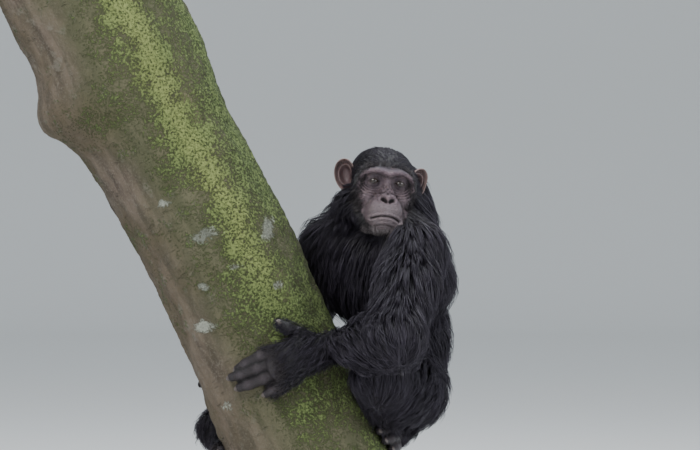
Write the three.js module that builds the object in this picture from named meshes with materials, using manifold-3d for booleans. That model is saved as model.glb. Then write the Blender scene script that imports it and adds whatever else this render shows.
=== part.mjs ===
// A young chimpanzee, life size, clinging to a leaning cut log that two short rods hold over a flat base.
// Units are millimetres, +Z is up. The origin is the middle of the base's underside.
// X runs to the right and Y away for someone who faces the animal, so the animal's left side is nearer.
import * as THREE from "three";
import { mergeVertices } from "three/addons/utils/BufferGeometryUtils.js";
import Module from "manifold-3d";

const wasm = await Module();
wasm.setup();

const V = (x, y, z) => new THREE.Vector3(x, y, z);
const RAD = Math.PI / 180;
const GAP = 0.4; // between pieces that touch
const CORE = 5; // depth of the closed under-coat over the flesh

// Colours and finishes
const finish = (color, roughness, metalness = 0) =>
  new THREE.MeshStandardMaterial({ color, roughness, metalness });
const COAT = finish(0x17161a, 0.75);
const FACE_SKIN = finish(0x5a4a48, 0.6);
const EAR_SKIN = finish(0x8a6a62, 0.6);
const HAND_SKIN = finish(0x2b2728, 0.6);
const EYE = finish(0x24120a, 0.08);
const BARK = finish(0x6f7048, 0.9);
const STEEL = finish(0x2a2b2d, 0.4, 0.8);
const BOARD = finish(0xb9b4aa, 0.6);

// Driving sizes of the animal: bones end at these joints
const JOINT = {
  left: {
    shoulder: V(322, -75, 668),
    elbow: V(286, -318, 500),
    wrist: V(167, -136, 486),
    hip: V(326, 69, 378),
    knee: V(258, -150, 428),
    ankle: V(290, 70, 305),
  },
  right: {
    shoulder: V(165, 160, 672),
    elbow: V(95, 372, 515),
    wrist: V(48, 160, 470),
    hip: V(254, 211, 378),
    knee: V(25, 290, 395),
    ankle: V(-80, 100, 306),
  },
};
const HEAD = { centre: V(264, 2, 820), yaw: 9, pitch: -3, roll: 7 };
const EYE_APART = 52;
const EYE_RADIUS = 11.5;

// Driving sizes of the log and its stand
const LOG_RADIUS = 147;
const LOG_AXIS = [
  V(170, -12, 150),
  V(116, -13, 271),
  V(71, -14, 371),
  V(32, -16, 471),
  V(-12, -20, 570),
  V(-56, -26, 670),
  V(-109, -32, 770),
  V(-166, -38, 869),
  V(-215, -44, 968),
  V(-265, -50, 1067),
  V(-320, -56, 1166),
  V(-359, -60, 1246),
];
const BASE = { width: 820, depth: 600, thickness: 30 };
const ROD_RADIUS = 16;
const RODS = {
  stand_rod_left: { x: 0, y: -15, length: 190 },
  stand_rod_right: { x: 150, y: -15, length: 110 },
};

// Where each hand and foot lies on the log: distance up the log, degrees round it, and which way it points
const GRIP = {
  hand_left: { along: 318, degrees: 136, heading: -86, side: 1 },
  hand_right: { along: 338, degrees: 264, heading: 92, side: -1 },
  foot_left: { along: 92, degrees: 226, heading: -82, side: 1 },
  foot_right: { along: 236, degrees: 325, heading: 135, side: -1 },
};

// Digits from knuckle to tip: how far forward, sideways toward the thumb, and off the bark
const FINGERS = [
  [[94, 26, 15], [138, 25, 18], [172, 18, 12], [194, 13, 8]],
  [[100, 5, 16], [150, 4, 19], [188, 1, 12], [214, -1, 8]],
  [[94, -16, 15], [144, -20, 18], [180, -24, 12], [204, -26, 8]],
  [[84, -36, 14], [112, -43, 16], [134, -48, 11], [150, -51, 8]],
];
const THUMB = [[26, 20, 20], [52, 42, 13], [68, 58, 10], [80, 72, 8]];
const TOES = [
  [[122, 14, 15], [152, 16, 18], [172, 17, 12], [186, 17, 8]],
  [[124, -4, 15], [156, -5, 18], [178, -5, 12], [192, -5, 8]],
  [[118, -21, 14], [148, -24, 17], [168, -25, 12], [182, -26, 8]],
  [[108, -36, 13], [134, -41, 15], [152, -44, 11], [164, -46, 8]],
];
const BIG_TOE = [[58, 22, 18], [86, 46, 14], [104, 62, 11], [116, 74, 9]];
const DIGIT = [12.5, 11.5, 10.5, 8.5];
const PALM = { places: [[-8, 0, 30], [30, 0, 25], [68, 0, 19], [98, -4, 15]], widths: [22, 29, 37, 38], flat: 0.5 };
const SOLE = { places: [[-14, 0, 23], [36, 0, 27], [84, 0, 21], [122, -8, 15]], widths: [23, 27, 32, 35], flat: 0.62 };

// A solid from a closed mesh, turned to face out
function solid(geometry) {
  const plain = geometry.clone();
  plain.deleteAttribute("normal");
  plain.deleteAttribute("uv");
  const whole = mergeVertices(plain, 1e-3);
  const made = (triVerts) =>
    new wasm.Manifold(
      new wasm.Mesh({ numProp: 3, vertProperties: whole.attributes.position.array, triVerts }),
    );
  const triangles = new Uint32Array(whole.index.array);
  const body = made(triangles);
  return body.volume() > 0 ? body : made(triangles.reverse());
}

function largest(body) {
  return body.decompose().reduce((a, b) => (b.volume() > a.volume() ? b : a));
}

function geometryOf(body) {
  const mesh = body.getMesh();
  const geometry = new THREE.BufferGeometry();
  geometry.setAttribute("position", new THREE.BufferAttribute(mesh.vertProperties.slice(), 3));
  geometry.setIndex(new THREE.BufferAttribute(mesh.triVerts.slice(), 1));
  return geometry;
}

const union = (bodies) => bodies.reduce((a, b) => a.add(b));

// A closed skin over rings of points that run the same way round
function ringSkin(rings) {
  const around = rings[0].length;
  const points = rings.flat();
  const faces = [];
  for (let i = 0; i + 1 < rings.length; i++)
    for (let j = 0; j < around; j++) {
      const a = i * around + j;
      const b = i * around + ((j + 1) % around);
      faces.push(a, b, b + around, a, b + around, a + around);
    }
  const middle = (ring) => ring.reduce((sum, p) => sum.add(p), V(0, 0, 0)).divideScalar(around);
  const last = (rings.length - 1) * around;
  points.push(middle(rings[0]), middle(rings[rings.length - 1]));
  for (let j = 0; j < around; j++) {
    const k = (j + 1) % around;
    faces.push(k, j, points.length - 2, last + j, last + k, points.length - 1);
  }
  const geometry = new THREE.BufferGeometry().setFromPoints(points);
  geometry.setIndex(faces);
  return solid(geometry);
}

// A box whose one face lies on a plane, used to part two neighbours
function cutter(point, normal, size, back = 0) {
  const box = new THREE.BoxGeometry(size, size, size);
  const turn = new THREE.Quaternion().setFromUnitVectors(V(0, 0, 1), normal);
  const middle = point.clone().addScaledVector(normal, size / 2 - back);
  box.applyMatrix4(new THREE.Matrix4().compose(middle, turn, V(1, 1, 1)));
  return solid(box);
}

// Distance fields: below zero is inside
const roundCone = (a, b, ra, rb) => {
  const along = b.clone().sub(a);
  const span = along.lengthSq();
  return (p) => {
    const t = THREE.MathUtils.clamp(p.clone().sub(a).dot(along) / span, 0, 1);
    return p.distanceTo(a.clone().addScaledVector(along, t)) - (ra + (rb - ra) * t);
  };
};

// An ellipsoid with its radii along the three columns of a basis
const ellipsoid = (centre, radii, basis = new THREE.Matrix4()) => {
  const back = basis.clone().transpose();
  return (p) => {
    const q = p.clone().sub(centre).applyMatrix4(back);
    const near = q.clone().divide(radii).length();
    const slope = q.clone().divide(radii).divide(radii).length();
    return slope < 1e-9 ? -Math.min(radii.x, radii.y, radii.z) : (near * (near - 1)) / slope;
  };
};

const blend = (a, b, k) => {
  const h = Math.max(k - Math.abs(a - b), 0) / k;
  return Math.min(a, b) - (h * h * k) / 4;
};
const merged = (masses, k) => (p) => masses.reduce((d, mass) => blend(d, mass(p), k), 1e3);
const carved = (field, hollows, k) => (p) =>
  hollows.reduce((d, hollow) => -blend(-d, hollow(p), k), field(p));
const grown = (field, by) => (p) => field(p) - by;

function slopeOf(field, p) {
  const e = 1;
  const at = (x, y, z) => field(V(p.x + x, p.y + y, p.z + z));
  return V(at(e, 0, 0) - at(-e, 0, 0), at(0, e, 0) - at(0, -e, 0), at(0, 0, e) - at(0, 0, -e)).normalize();
}

// The first point where a ray from inside a field leaves it
function reach(field, from, direction, most) {
  const at = (t) => from.clone().addScaledVector(direction, t);
  let t = 0;
  let d = field(from);
  while (d < 0 && t < most) {
    t += Math.max(-d * 0.6, 1.5);
    d = field(at(t));
  }
  let low = Math.max(t - 25, 0);
  let high = Math.min(t, most);
  for (let i = 0; i < 12 && d >= 0; i++) {
    const middle = (low + high) / 2;
    if (field(at(middle)) < 0) low = middle;
    else high = middle;
  }
  return at(high);
}

// Rings of rays round a straight bone or a curve, out to a field
function sleeve(field, centres, side, around, most) {
  return ringSkin(
    centres.map((centre, i) => {
      const ahead = centres[Math.min(i + 1, centres.length - 1)];
      const behind = centres[Math.max(i - 1, 0)];
      const axis = ahead.clone().sub(behind).normalize();
      const u = side.clone().addScaledVector(axis, -side.dot(axis)).normalize();
      const v = axis.clone().cross(u);
      return Array.from({ length: around }, (_, j) => {
        const angle = (2 * Math.PI * j) / around;
        const ray = u.clone().multiplyScalar(Math.cos(angle)).addScaledVector(v, Math.sin(angle));
        return reach(field, centre, ray, most);
      });
    }),
  );
}

const between = (a, b, count, from = 0, to = 1) =>
  Array.from({ length: count }, (_, i) => a.clone().lerp(b, from + ((to - from) * i) / (count - 1)));

// The log: a curved axis with bark that swells and furrows
const logCurve = new THREE.CatmullRomCurve3(LOG_AXIS);
const LOG_LENGTH = logCurve.getLength();

function logFrame(along) {
  const t = THREE.MathUtils.clamp(along / LOG_LENGTH, 0, 1);
  const axis = logCurve.getTangentAt(t);
  const toward = V(0, -1, 0);
  toward.addScaledVector(axis, -toward.dot(axis)).normalize();
  const under = axis.clone().cross(toward).negate();
  return { centre: logCurve.getPointAt(t), axis, under, toward };
}

// Angle 0 is the underside, at the left, 90 faces the viewer, 180 is the upper side and 270 the far side
function logRadius(along, angle) {
  const lobes = 3.2 * Math.sin(3 * angle + along / 260) + 2.2 * Math.sin(5 * angle - along / 170);
  const burl = 40 * Math.exp(-(((along - 945) / 62) ** 2)) * Math.max(0, Math.cos(angle - 0.25)) ** 3;
  const flare = 16 * THREE.MathUtils.smoothstep(along, 780, 1000);
  return LOG_RADIUS + lobes + burl + flare;
}

function logPoint(along, degrees, off = 0) {
  const { centre, under, toward } = logFrame(along);
  const angle = degrees * RAD;
  const out = under.clone().multiplyScalar(Math.cos(angle)).addScaledVector(toward, Math.sin(angle));
  return centre.addScaledVector(out, logRadius(along, angle) + off);
}

// How far a point lies off the bark, near enough
function offLog(p) {
  const near = Array.from({ length: 50 }, (_, i) => logCurve.getPointAt(i / 49).distanceTo(p));
  return Math.min(...near) - LOG_RADIUS;
}

function logBody(rows, around, off, past = 0) {
  const rings = Array.from({ length: rows }, (_, i) => {
    const along = (LOG_LENGTH * i) / (rows - 1);
    const shift = past * (i === 0 ? -1 : i === rows - 1 ? 1 : 0);
    return Array.from({ length: around }, (_, j) =>
      logPoint(along, (360 * j) / around, off).addScaledVector(logFrame(along).axis, shift),
    );
  });
  return ringSkin(rings);
}

// A place on the bark, given from a start by how far forward and sideways it lies, and its height off the bark
function gripper({ along, degrees, heading, side }) {
  const turn = heading * RAD;
  const perDegree = (LOG_RADIUS + 15) * RAD;
  return (forward, sideways, off) =>
    logPoint(
      along + forward * Math.cos(turn) - sideways * side * Math.sin(turn),
      degrees + (forward * Math.sin(turn) + sideways * side * Math.cos(turn)) / perDegree,
      off,
    );
}

// Turning matrices: the columns are left, forward and up of a body that faces the viewer, then turned
function facing(yaw, pitch = 0, roll = 0) {
  const turn = new THREE.Matrix4().makeRotationZ(yaw * RAD);
  turn.multiply(new THREE.Matrix4().makeRotationX(-pitch * RAD));
  turn.multiply(new THREE.Matrix4().makeRotationY(roll * RAD));
  return turn.multiply(new THREE.Matrix4().makeBasis(V(1, 0, 0), V(0, -1, 0), V(0, 0, 1)));
}

// Flesh of the torso, in ellipsoids that face down the chest's and the hips' own directions
const chestTurn = facing(-48);
const bellyTurn = facing(-60);
const hipTurn = facing(-65);
const NECK = { low: V(280, 52, 735), high: V(270, 24, 792), lowRadius: 66, highRadius: 58 };
const NAPE = { low: V(302, 84, 722), high: V(290, 64, 792), lowRadius: 62, highRadius: 54 };
const torsoMasses = [
  ellipsoid(V(266, 64, 664), V(128, 92, 72), chestTurn),
  ellipsoid(V(278, 80, 608), V(138, 106, 80), chestTurn),
  ellipsoid(V(307, 125, 486), V(90, 83, 92), bellyTurn),
  ellipsoid(V(290, 140, 386), V(98, 78, 66), hipTurn),
  roundCone(NECK.low, NECK.high, NECK.lowRadius, NECK.highRadius),
  roundCone(NAPE.low, NAPE.high, NAPE.lowRadius, NAPE.highRadius),
];

// Flesh of a limb: joint to joint, with the swell of its muscles
const GIRTH = { shoulder: 50, upperArm: 43, elbow: 33, forearm: 38, wrist: 23 };
const LEG_GIRTH = { hip: 62, thigh: 60, knee: 42, calf: 42, ankle: 25 };
const mix = (a, b, t) => a.clone().lerp(b, t);
const direction = (a, b) => b.clone().sub(a).normalize();

function armMasses({ shoulder, elbow, wrist }) {
  return [
    roundCone(shoulder, mix(shoulder, elbow, 0.45), GIRTH.shoulder, GIRTH.upperArm),
    roundCone(mix(shoulder, elbow, 0.45), elbow, GIRTH.upperArm, GIRTH.elbow),
    roundCone(elbow, mix(elbow, wrist, 0.35), GIRTH.elbow, GIRTH.forearm),
    roundCone(mix(elbow, wrist, 0.35), wrist, GIRTH.forearm, GIRTH.wrist),
  ];
}

function legMasses({ hip, knee, ankle }) {
  return [
    roundCone(hip, mix(hip, knee, 0.4), LEG_GIRTH.hip, LEG_GIRTH.thigh),
    roundCone(mix(hip, knee, 0.4), knee, LEG_GIRTH.thigh, LEG_GIRTH.knee),
    roundCone(knee, mix(knee, ankle, 0.4), LEG_GIRTH.knee, LEG_GIRTH.calf),
    roundCone(mix(knee, ankle, 0.4), ankle, LEG_GIRTH.calf, LEG_GIRTH.ankle),
  ];
}
const shoulderSlope = (joint) => roundCone(mix(NECK.low, NECK.high, 0.4), joint.shoulder, 50, 50);

const BODY_BLEND = 26;
const arms = { left: armMasses(JOINT.left), right: armMasses(JOINT.right) };
const legs = { left: legMasses(JOINT.left), right: legMasses(JOINT.right) };
const trunkMasses = [...torsoMasses, shoulderSlope(JOINT.left), shoulderSlope(JOINT.right)];
const torsoField = grown(
  merged(
    [...trunkMasses, arms.left[0], arms.right[0], legs.left[0], legs.right[0]],
    BODY_BLEND,
  ),
  CORE,
);
const armField = {};
const legField = {};
for (const side of ["left", "right"]) {
  armField[side] = grown(merged([...trunkMasses, ...arms[side]], BODY_BLEND), CORE);
  legField[side] = grown(merged([...torsoMasses.slice(2, 4), ...legs[side]], BODY_BLEND), CORE);
}

const everyMass = [...trunkMasses, ...arms.left, ...arms.right, ...legs.left, ...legs.right];
const bodyField = grown(merged(everyMass, BODY_BLEND), CORE);

// The head, in its own left, forward and up
const headTurn = facing(HEAD.yaw, HEAD.pitch, HEAD.roll);
const inHead = (left, forward, up) => V(left, forward, up).applyMatrix4(headTurn).add(HEAD.centre);
const headEllipsoid = (centre, radii) => ellipsoid(inHead(...centre), V(...radii), headTurn);
const headCone = (a, b, ra, rb) => roundCone(inHead(...a), inHead(...b), ra, rb);
const mirrored = (make) => [make(1), make(-1)];

const headMasses = [
  headEllipsoid([0, 0, 2], [60, 78, 52]),
  headEllipsoid([0, -34, -22], [54, 46, 48]),
  headEllipsoid([0, 34, -30], [54, 36, 48]),
  headEllipsoid([0, 66, -70], [38, 44, 33]),
  headEllipsoid([0, 87, -68], [32, 30, 26]),
  headEllipsoid([0, 74, -93], [32, 38, 22]),
  headEllipsoid([0, 16, -72], [46, 50, 34]),
  ...mirrored((s) => headCone([s * 20, 66, 7], [0, 68, 3], 9, 8)),
  ...mirrored((s) => headCone([s * 20, 66, 7], [s * 45, 52, 2], 9, 8)),
  ...mirrored((s) => headCone([s * 45, 52, 2], [s * 51, 44, -24], 8, 10)),
  ...mirrored((s) => headCone([s * 49, 44, -26], [s * 34, 58, -46], 12, 18)),
  ...mirrored((s) => headCone([s * 44, 8, -58], [s * 28, 58, -88], 24, 24)),
  headCone([0, 64, -14], [0, 88, -44], 9, 13),
];
const sockets = mirrored((s) => headEllipsoid([s * (EYE_APART / 2), 76, -13], [17, 13, 14]));
const headField = carved(merged(headMasses, 12), sockets, 7);
const neckHeadField = (p) => blend(headField(p), merged(torsoMasses.slice(4), 10)(p) - CORE, 24);
const neckField = (p) => blend(headField(p), torsoField(p), 30);

function headSolid(off) {
  const middle = inHead(0, 26, -30);
  const rows = 26;
  const around = 26;
  const rings = [];
  for (let i = 1; i < rows; i++) {
    const polar = Math.PI * (i / rows) ** 1.25;
    rings.push(
      Array.from({ length: around }, (_, j) => {
        const angle = (2 * Math.PI * j) / around;
        const ray = V(Math.sin(polar) * Math.sin(angle), Math.cos(polar), Math.sin(polar) * Math.cos(angle));
        ray.applyMatrix4(headTurn);
        return reach(grown(neckHeadField, off), middle, ray, 170);
      }),
    );
  }
  return ringSkin(rings);
}

// A bent tube with round ends: centre points, a radius at each, and how flat it is along a direction
function tube(points, radii, around = 8, flat = 1, flatAlong = V(0, 0, 1)) {
  const rings = [];
  const add = (centre, axis, radius) => {
    const u = flatAlong.clone().addScaledVector(axis, -flatAlong.dot(axis)).normalize();
    const v = axis.clone().cross(u);
    rings.push(
      Array.from({ length: around }, (_, j) => {
        const angle = (2 * Math.PI * (j + 0.5)) / around;
        return centre
          .clone()
          .addScaledVector(u, radius * flat * Math.cos(angle))
          .addScaledVector(v, radius * Math.sin(angle));
      }),
    );
  };
  points.forEach((point, i) => {
    const ahead = points[Math.min(i + 1, points.length - 1)];
    const behind = points[Math.max(i - 1, 0)];
    const axis = ahead.clone().sub(behind).normalize();
    if (i === 0) add(point.clone().addScaledVector(axis, -radii[0] * 0.7), axis, radii[0] * 0.6);
    add(point, axis, radii[i]);
    if (i === points.length - 1) add(point.clone().addScaledVector(axis, radii[i] * 0.7), axis, radii[i] * 0.6);
  });
  return ringSkin(rings);
}

// Lids, lips and nostrils are added to or cut from the head
function headDetails(head) {
  let made = head;
  for (const s of [1, -1]) {
    const lid = (up, forward, bow) =>
      [-1, -0.5, 0, 0.5, 1].map((t) =>
        inHead(s * (EYE_APART / 2 + 15 * t), forward - 4.5 * t * t - s * 0, up + bow * (1 - t * t)),
      );
    made = made.add(tube(lid(-12, 70, 7), [2, 3.4, 3.8, 3.4, 2], 5));
    made = made.add(tube(lid(-15, 70, -6.5), [2, 3, 3.4, 3, 2], 5));
    const nostril = tube([inHead(s * 4, 106, -52), inHead(s * 8, 97, -51)], [3.2, 3.6], 7);
    made = made.add(tube([inHead(s * 3, 97, -46), inHead(s * 12, 91, -49)], [7, 6], 8)).subtract(nostril);
  }
  const mouth = [-1, -0.8, -0.55, -0.28, 0, 0.28, 0.55, 0.8, 1].map((t) =>
    inHead(33 * t, 121 - 34 * t * t, -79 - 7 * t * t),
  );
  return made.subtract(tube(mouth, [1.5, 2.2, 2.6, 2.8, 3, 2.8, 2.6, 2.2, 1.5], 6));
}

// An ear: a cup that opens forward, with a rolled rim, set on the side of the head
const EAR = { width: 21, height: 33, root: [62, -4, -9], spread: 26 };
function ear(s, off) {
  const [out, forward, up] = EAR.root;
  const turn = new THREE.Matrix4().makeRotationZ(-s * EAR.spread * RAD);
  turn.multiply(new THREE.Matrix4().makeRotationY(s * 12 * RAD));
  // Each ring: share of the outline's size, then depth forward
  const profile = [[0.2, -9], [0.5, -8.5], [0.74, -4], [0.86, 1], [0.95, 4], [1, 3], [1, 0], [0.92, -5], [0.65, -13], [0.3, -17]];
  const rings = profile.map(([share, depth], i) =>
    Array.from({ length: 13 }, (_, j) => {
      const angle = (2 * Math.PI * j) / 13;
      const top = 1 + 0.12 * Math.sin(angle);
      const wider = i < 5 ? -off : off;
      const wide = share * EAR.width * top + wider;
      const p = V(Math.cos(angle) * wide, depth + (i < 6 ? off : -off), Math.sin(angle) * (share * EAR.height + wider));
      p.applyMatrix4(turn);
      return inHead(s * (out + EAR.width * 0.6) + p.x, forward + p.y, up + p.z);
    }),
  );
  return ringSkin(rings);
}

// Hands and feet: a flat palm or sole, with digits that lie on the bark
function hand(side, off) {
  const at = gripper(GRIP["hand_" + side]);
  return grasp(at, off, PALM, [...FINGERS, THUMB]);
}

function foot(side, off) {
  const at = gripper(GRIP["foot_" + side]);
  const stub = tube([JOINT[side].ankle, at(38, 0, 26)], [LEG_GIRTH.ankle + off, 24 + off], 10);
  return grasp(at, off, SOLE, [...TOES, BIG_TOE]).add(stub);
}

function grasp(at, off, flatPart, digits) {
  const points = flatPart.places.map((place) => at(...place));
  const out = at(50, 0, 60).sub(at(50, 0, 0)).normalize();
  const palm = tube(points, flatPart.widths.map((width) => width + off), 8, flatPart.flat, out);
  return digits.reduce(
    (body, digit) => body.add(tube(digit.map((place) => at(...place)), DIGIT.map((r) => r + off), 5)),
    palm,
  );
}

// A lock of hair: a flat three-sided blade that bends over the coat below it, with its root sunk in
const LOCK_ROOT = -4;
const LOCK_WIDTH = [0.85, 1, 0.12]; // shares of its width, from root to tip
const LOCK_DEPTH = [8, 9, 1.5];
function lock(field, root, flow, { length, width, lift }, off) {
  const p = root.clone();
  const step = length / (LOCK_WIDTH.length - 1);
  const heading = flow.clone();
  const last = root.clone();
  const rings = LOCK_WIDTH.map((share, i) => {
    const t = i / (LOCK_WIDTH.length - 1);
    const height = LOCK_ROOT + (lift - LOCK_ROOT) * Math.sin((Math.PI / 2) * Math.min(1, 1.3 * t));
    const out = slopeOf(field, p);
    for (let k = 0; k < 3; k++) p.addScaledVector(out, height - field(p));
    const side = heading.clone().cross(out).normalize();
    const half = (width * share) / 2 + off;
    if (i === LOCK_WIDTH.length - 1) p.addScaledVector(direction(last, p), off * 1.5);
    last.copy(p);
    const ring = [
      p.clone().addScaledVector(side, half).addScaledVector(out, -LOCK_DEPTH[i] * 0.4 - off),
      p.clone().addScaledVector(out, LOCK_DEPTH[i] * 0.6 + off),
      p.clone().addScaledVector(side, -half).addScaledVector(out, -LOCK_DEPTH[i] * 0.4 - off),
    ];
    heading.addScaledVector(out, -heading.dot(out)).normalize();
    p.addScaledVector(heading, step);
    return ring;
  });
  return ringSkin(rings);
}

// Seeded draw, so every build is the same
let seed = 20;
function draw(low = -1, high = 1) {
  seed = (seed * 16807) % 2147483647;
  return low + ((high - low) * seed) / 2147483647;
}

// Locks in rows along a bone: rays leave it at even angles, and each row is shifted by half a step
// A ray that ends in the log, or runs too far because it is buried in the next part, grows nothing
function coatLocks(field, { from, to, side, rows, count, arc, down, most = 250, ...shape }, off) {
  const axis = to.clone().sub(from).normalize();
  const u = side.clone().addScaledVector(axis, -side.dot(axis)).normalize();
  const v = axis.clone().cross(u);
  return rows.flatMap((t, row) =>
    Array.from({ length: count }, (_, j) => {
      const share = (j + 0.25 + (row % 2) * 0.5 + draw(-0.12, 0.12)) / count;
      const angle = (arc[0] + (arc[1] - arc[0]) * share) * RAD;
      const ray = u.clone().multiplyScalar(Math.cos(angle)).addScaledVector(v, Math.sin(angle));
      const centre = from.clone().lerp(to, t);
      const root = reach(field, centre, ray, most);
      const flow = axis.clone().add(V(draw() * 0.12, draw() * 0.12, -down));
      const grownLock = variedLock(field, root, flow, shape, off);
      const buried = centre.distanceTo(root) > most - 2 || offLog(root) < 12;
      return buried ? null : grownLock;
    }).filter(Boolean),
  );
}

function variedLock(field, root, flow, { length, width, lift }, off) {
  const out = slopeOf(field, root);
  const along = flow.addScaledVector(out, -flow.dot(out)).normalize();
  const size = { length: length * draw(0.85, 1.15), width: width * draw(0.85, 1.1), lift: lift * draw(0.8, 1.2) };
  return lock(field, root, along, size, off);
}

const withLocks = (body, locks) => locks.reduce((all, one) => all.add(one), body);

// Where the long coat grows on each part
const armCoat = ({ shoulder, elbow }) => ({
  from: shoulder, to: elbow, side: V(0, 0, 1), rows: [0.14, 0.52], count: 5, arc: [0, 360],
  down: 0.5, most: 92, length: 98, width: 42, lift: 11,
});
const forearmCoat = ({ elbow, wrist }) => ({
  from: wrist, to: elbow, side: V(0, 0, 1), rows: [0.12, 0.5], count: 4, arc: [20, 380],
  down: 0.45, most: 80, length: 82, width: 33, lift: 9,
});
const thighCoat = ({ hip, knee }) => ({
  from: hip, to: knee, side: V(0, 0, 1), rows: [0.34, 0.64], count: 4, arc: [0, 360],
  down: 0.5, most: 95, length: 74, width: 40, lift: 10,
});
const shinCoat = ({ knee, ankle }) => ({
  from: knee, to: ankle, side: V(0, 0, 1), rows: [0.2, 0.56], count: 4, arc: [0, 360],
  down: 0.3, most: 80, length: 64, width: 34, lift: 8,
});
const BACK_COAT = {
  from: V(272, 50, 722), to: V(292, 140, 370), side: V(0.74, 0.67, 0), rows: [0.1, 0.36, 0.62, 0.86],
  count: 5, arc: [-120, 120], down: 0.4, length: 100, width: 56, lift: 12,
};
const NAPE_COAT = {
  from: inHead(0, -30, -30), to: V(290, 70, 712), side: V(0.4, 0.92, 0), rows: [0.35, 0.72],
  count: 5, arc: [-115, 115], down: 0.2, length: 74, width: 36, lift: 11,
};
const CROWN_COAT = {
  from: inHead(0, 34, -6), to: inHead(0, -62, -30), side: inHead(0, 0, 1).sub(inHead(0, 0, 0)),
  rows: [0.2, 0.62], count: 4, arc: [-80, 80], down: 0.1, length: 60, width: 34, lift: 6,
};

// Whiskers flare from the cheeks, and a short beard hangs from the chin
function headLocks(off) {
  const turned = (x, y, z) => direction(inHead(0, 0, 0), inHead(x, y, z));
  const whiskers = mirrored((s) =>
    [0, 1, 2, 3, 4].map((i) => {
      const root = reach(headField, inHead(0, 4 + (i % 2) * 22, -22 - 12 * i), turned(s, 0.12, 0), 160);
      const shape = { length: 56 - 4 * i, width: 20, lift: 11 };
      return variedLock(neckField, root, turned(s * 0.5, -0.6 + 0.08 * i, -0.75), shape, off);
    }),
  );
  const beard = [-1.5, -0.5, 0.5, 1.5].map((i) => {
    const root = reach(headField, inHead(5 * i, 62 - 4 * Math.abs(i), -90), turned(0.24 * i, 0.5, -1), 90);
    return variedLock(headField, root, turned(0.12 * i, -0.35, -1), { length: 25, width: 13, lift: 5 }, off);
  });
  return [...whiskers.flat(), ...beard];
}

// Joints part the body with thin cuts
const halfway = (before, point, after) => direction(before, point).add(direction(point, after)).normalize();
const HEAD_CUT = { point: inHead(0, -20, -76), normal: V(0.05, -0.46, 0.88).normalize() };
const NECK_CUT = { point: mix(NECK.low, NECK.high, 0.35), normal: direction(NECK.low, NECK.high) };
const cuts = {};
for (const side of ["left", "right"]) {
  const j = JOINT[side];
  cuts[side] = {
    shoulder: { point: mix(j.shoulder, j.elbow, 0.12), normal: direction(j.shoulder, j.elbow) },
    elbow: { point: j.elbow, normal: halfway(j.shoulder, j.elbow, j.wrist) },
    wrist: { point: j.wrist, normal: direction(j.elbow, j.wrist) },
    hip: { point: mix(j.hip, j.knee, 0.2), normal: direction(j.hip, j.knee) },
    knee: { point: j.knee, normal: halfway(j.hip, j.knee, j.ankle) },
    ankle: { point: j.ankle, normal: direction(j.knee, j.ankle) },
  };
}
const above = ({ point, normal }, size, off) => cutter(point, normal, size, off);
const below = ({ point, normal }, size, off) => cutter(point, normal.clone().negate(), size, off);

function boxRound(body, rise) {
  const { min, max } = body.boundingBox();
  max[2] += rise;
  const [x, y, z] = max.map((high, i) => high - min[i] + 2 * GAP);
  const middle = max.map((high, i) => (high + min[i]) / 2);
  return solid(new THREE.BoxGeometry(x, y, z).translate(...middle));
}

// Each node is cut clear of grown copies of those placed before it, and of a box round what still touches
const group = new THREE.Group();
const taken = [];
const TOUCH = 0.002; // cubic millimetres
function place(name, material, make) {
  const grownBy = (off) => {
    seed = 53 + name.length * 977;
    return make(off);
  };
  let body = largest(taken.reduce((left, other) => left.subtract(other.grown), grownBy(0)));
  for (let rise = 0; rise <= 80; rise += 20) {
    body = largest(solid(geometryOf(body)));
    const crossings = taken.flatMap((other) => body.intersect(other.body).decompose());
    const boxes = crossings.filter((crossing) => crossing.volume() > TOUCH).map((one) => boxRound(one, rise));
    if (!boxes.length) break;
    body = boxes.reduce((left, box) => left.subtract(box), body);
  }
  taken.push({ body, grownBy, grown: grownBy(GAP) });
  const mesh = new THREE.Mesh(geometryOf(body), material);
  mesh.name = name;
  group.add(mesh);
}

// Log and stand
place("perch_log", BARK, (off) => logBody(16, 22, off, off));
place("stand_base", BOARD, (off) => {
  const board = new THREE.BoxGeometry(BASE.width + 2 * off, BASE.depth + 2 * off, BASE.thickness + 2 * off);
  return solid(board.translate(0, 0, BASE.thickness / 2));
});
for (const [name, foot] of Object.entries(RODS))
  place(name, STEEL, (off) => {
    const rod = new THREE.CylinderGeometry(ROD_RADIUS + off, ROD_RADIUS + off, foot.length, 20);
    return solid(rod.rotateX(Math.PI / 2).translate(foot.x, foot.y, BASE.thickness + foot.length / 2));
  });

// Head, eyes and ears
const eyeCentre = (s) => inHead((s * EYE_APART) / 2, 60, -13);
for (const s of [1, -1])
  place(s > 0 ? "eye_left" : "eye_right", EYE, (off) => {
    const centre = eyeCentre(s);
    return solid(new THREE.SphereGeometry(EYE_RADIUS + off, 10, 8).translate(centre.x, centre.y, centre.z));
  });
for (const s of [1, -1]) place(s > 0 ? "ear_left" : "ear_right", EAR_SKIN, (off) => ear(s, off));
place("head", FACE_SKIN, (off) => {
  const skull = off ? headSolid(off) : headDetails(headSolid(0));
  const cut = skull.intersect(above(HEAD_CUT, 600, off));
  return withLocks(cut, [...headLocks(off), ...coatLocks(neckHeadField, CROWN_COAT, off)]);
});

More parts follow.
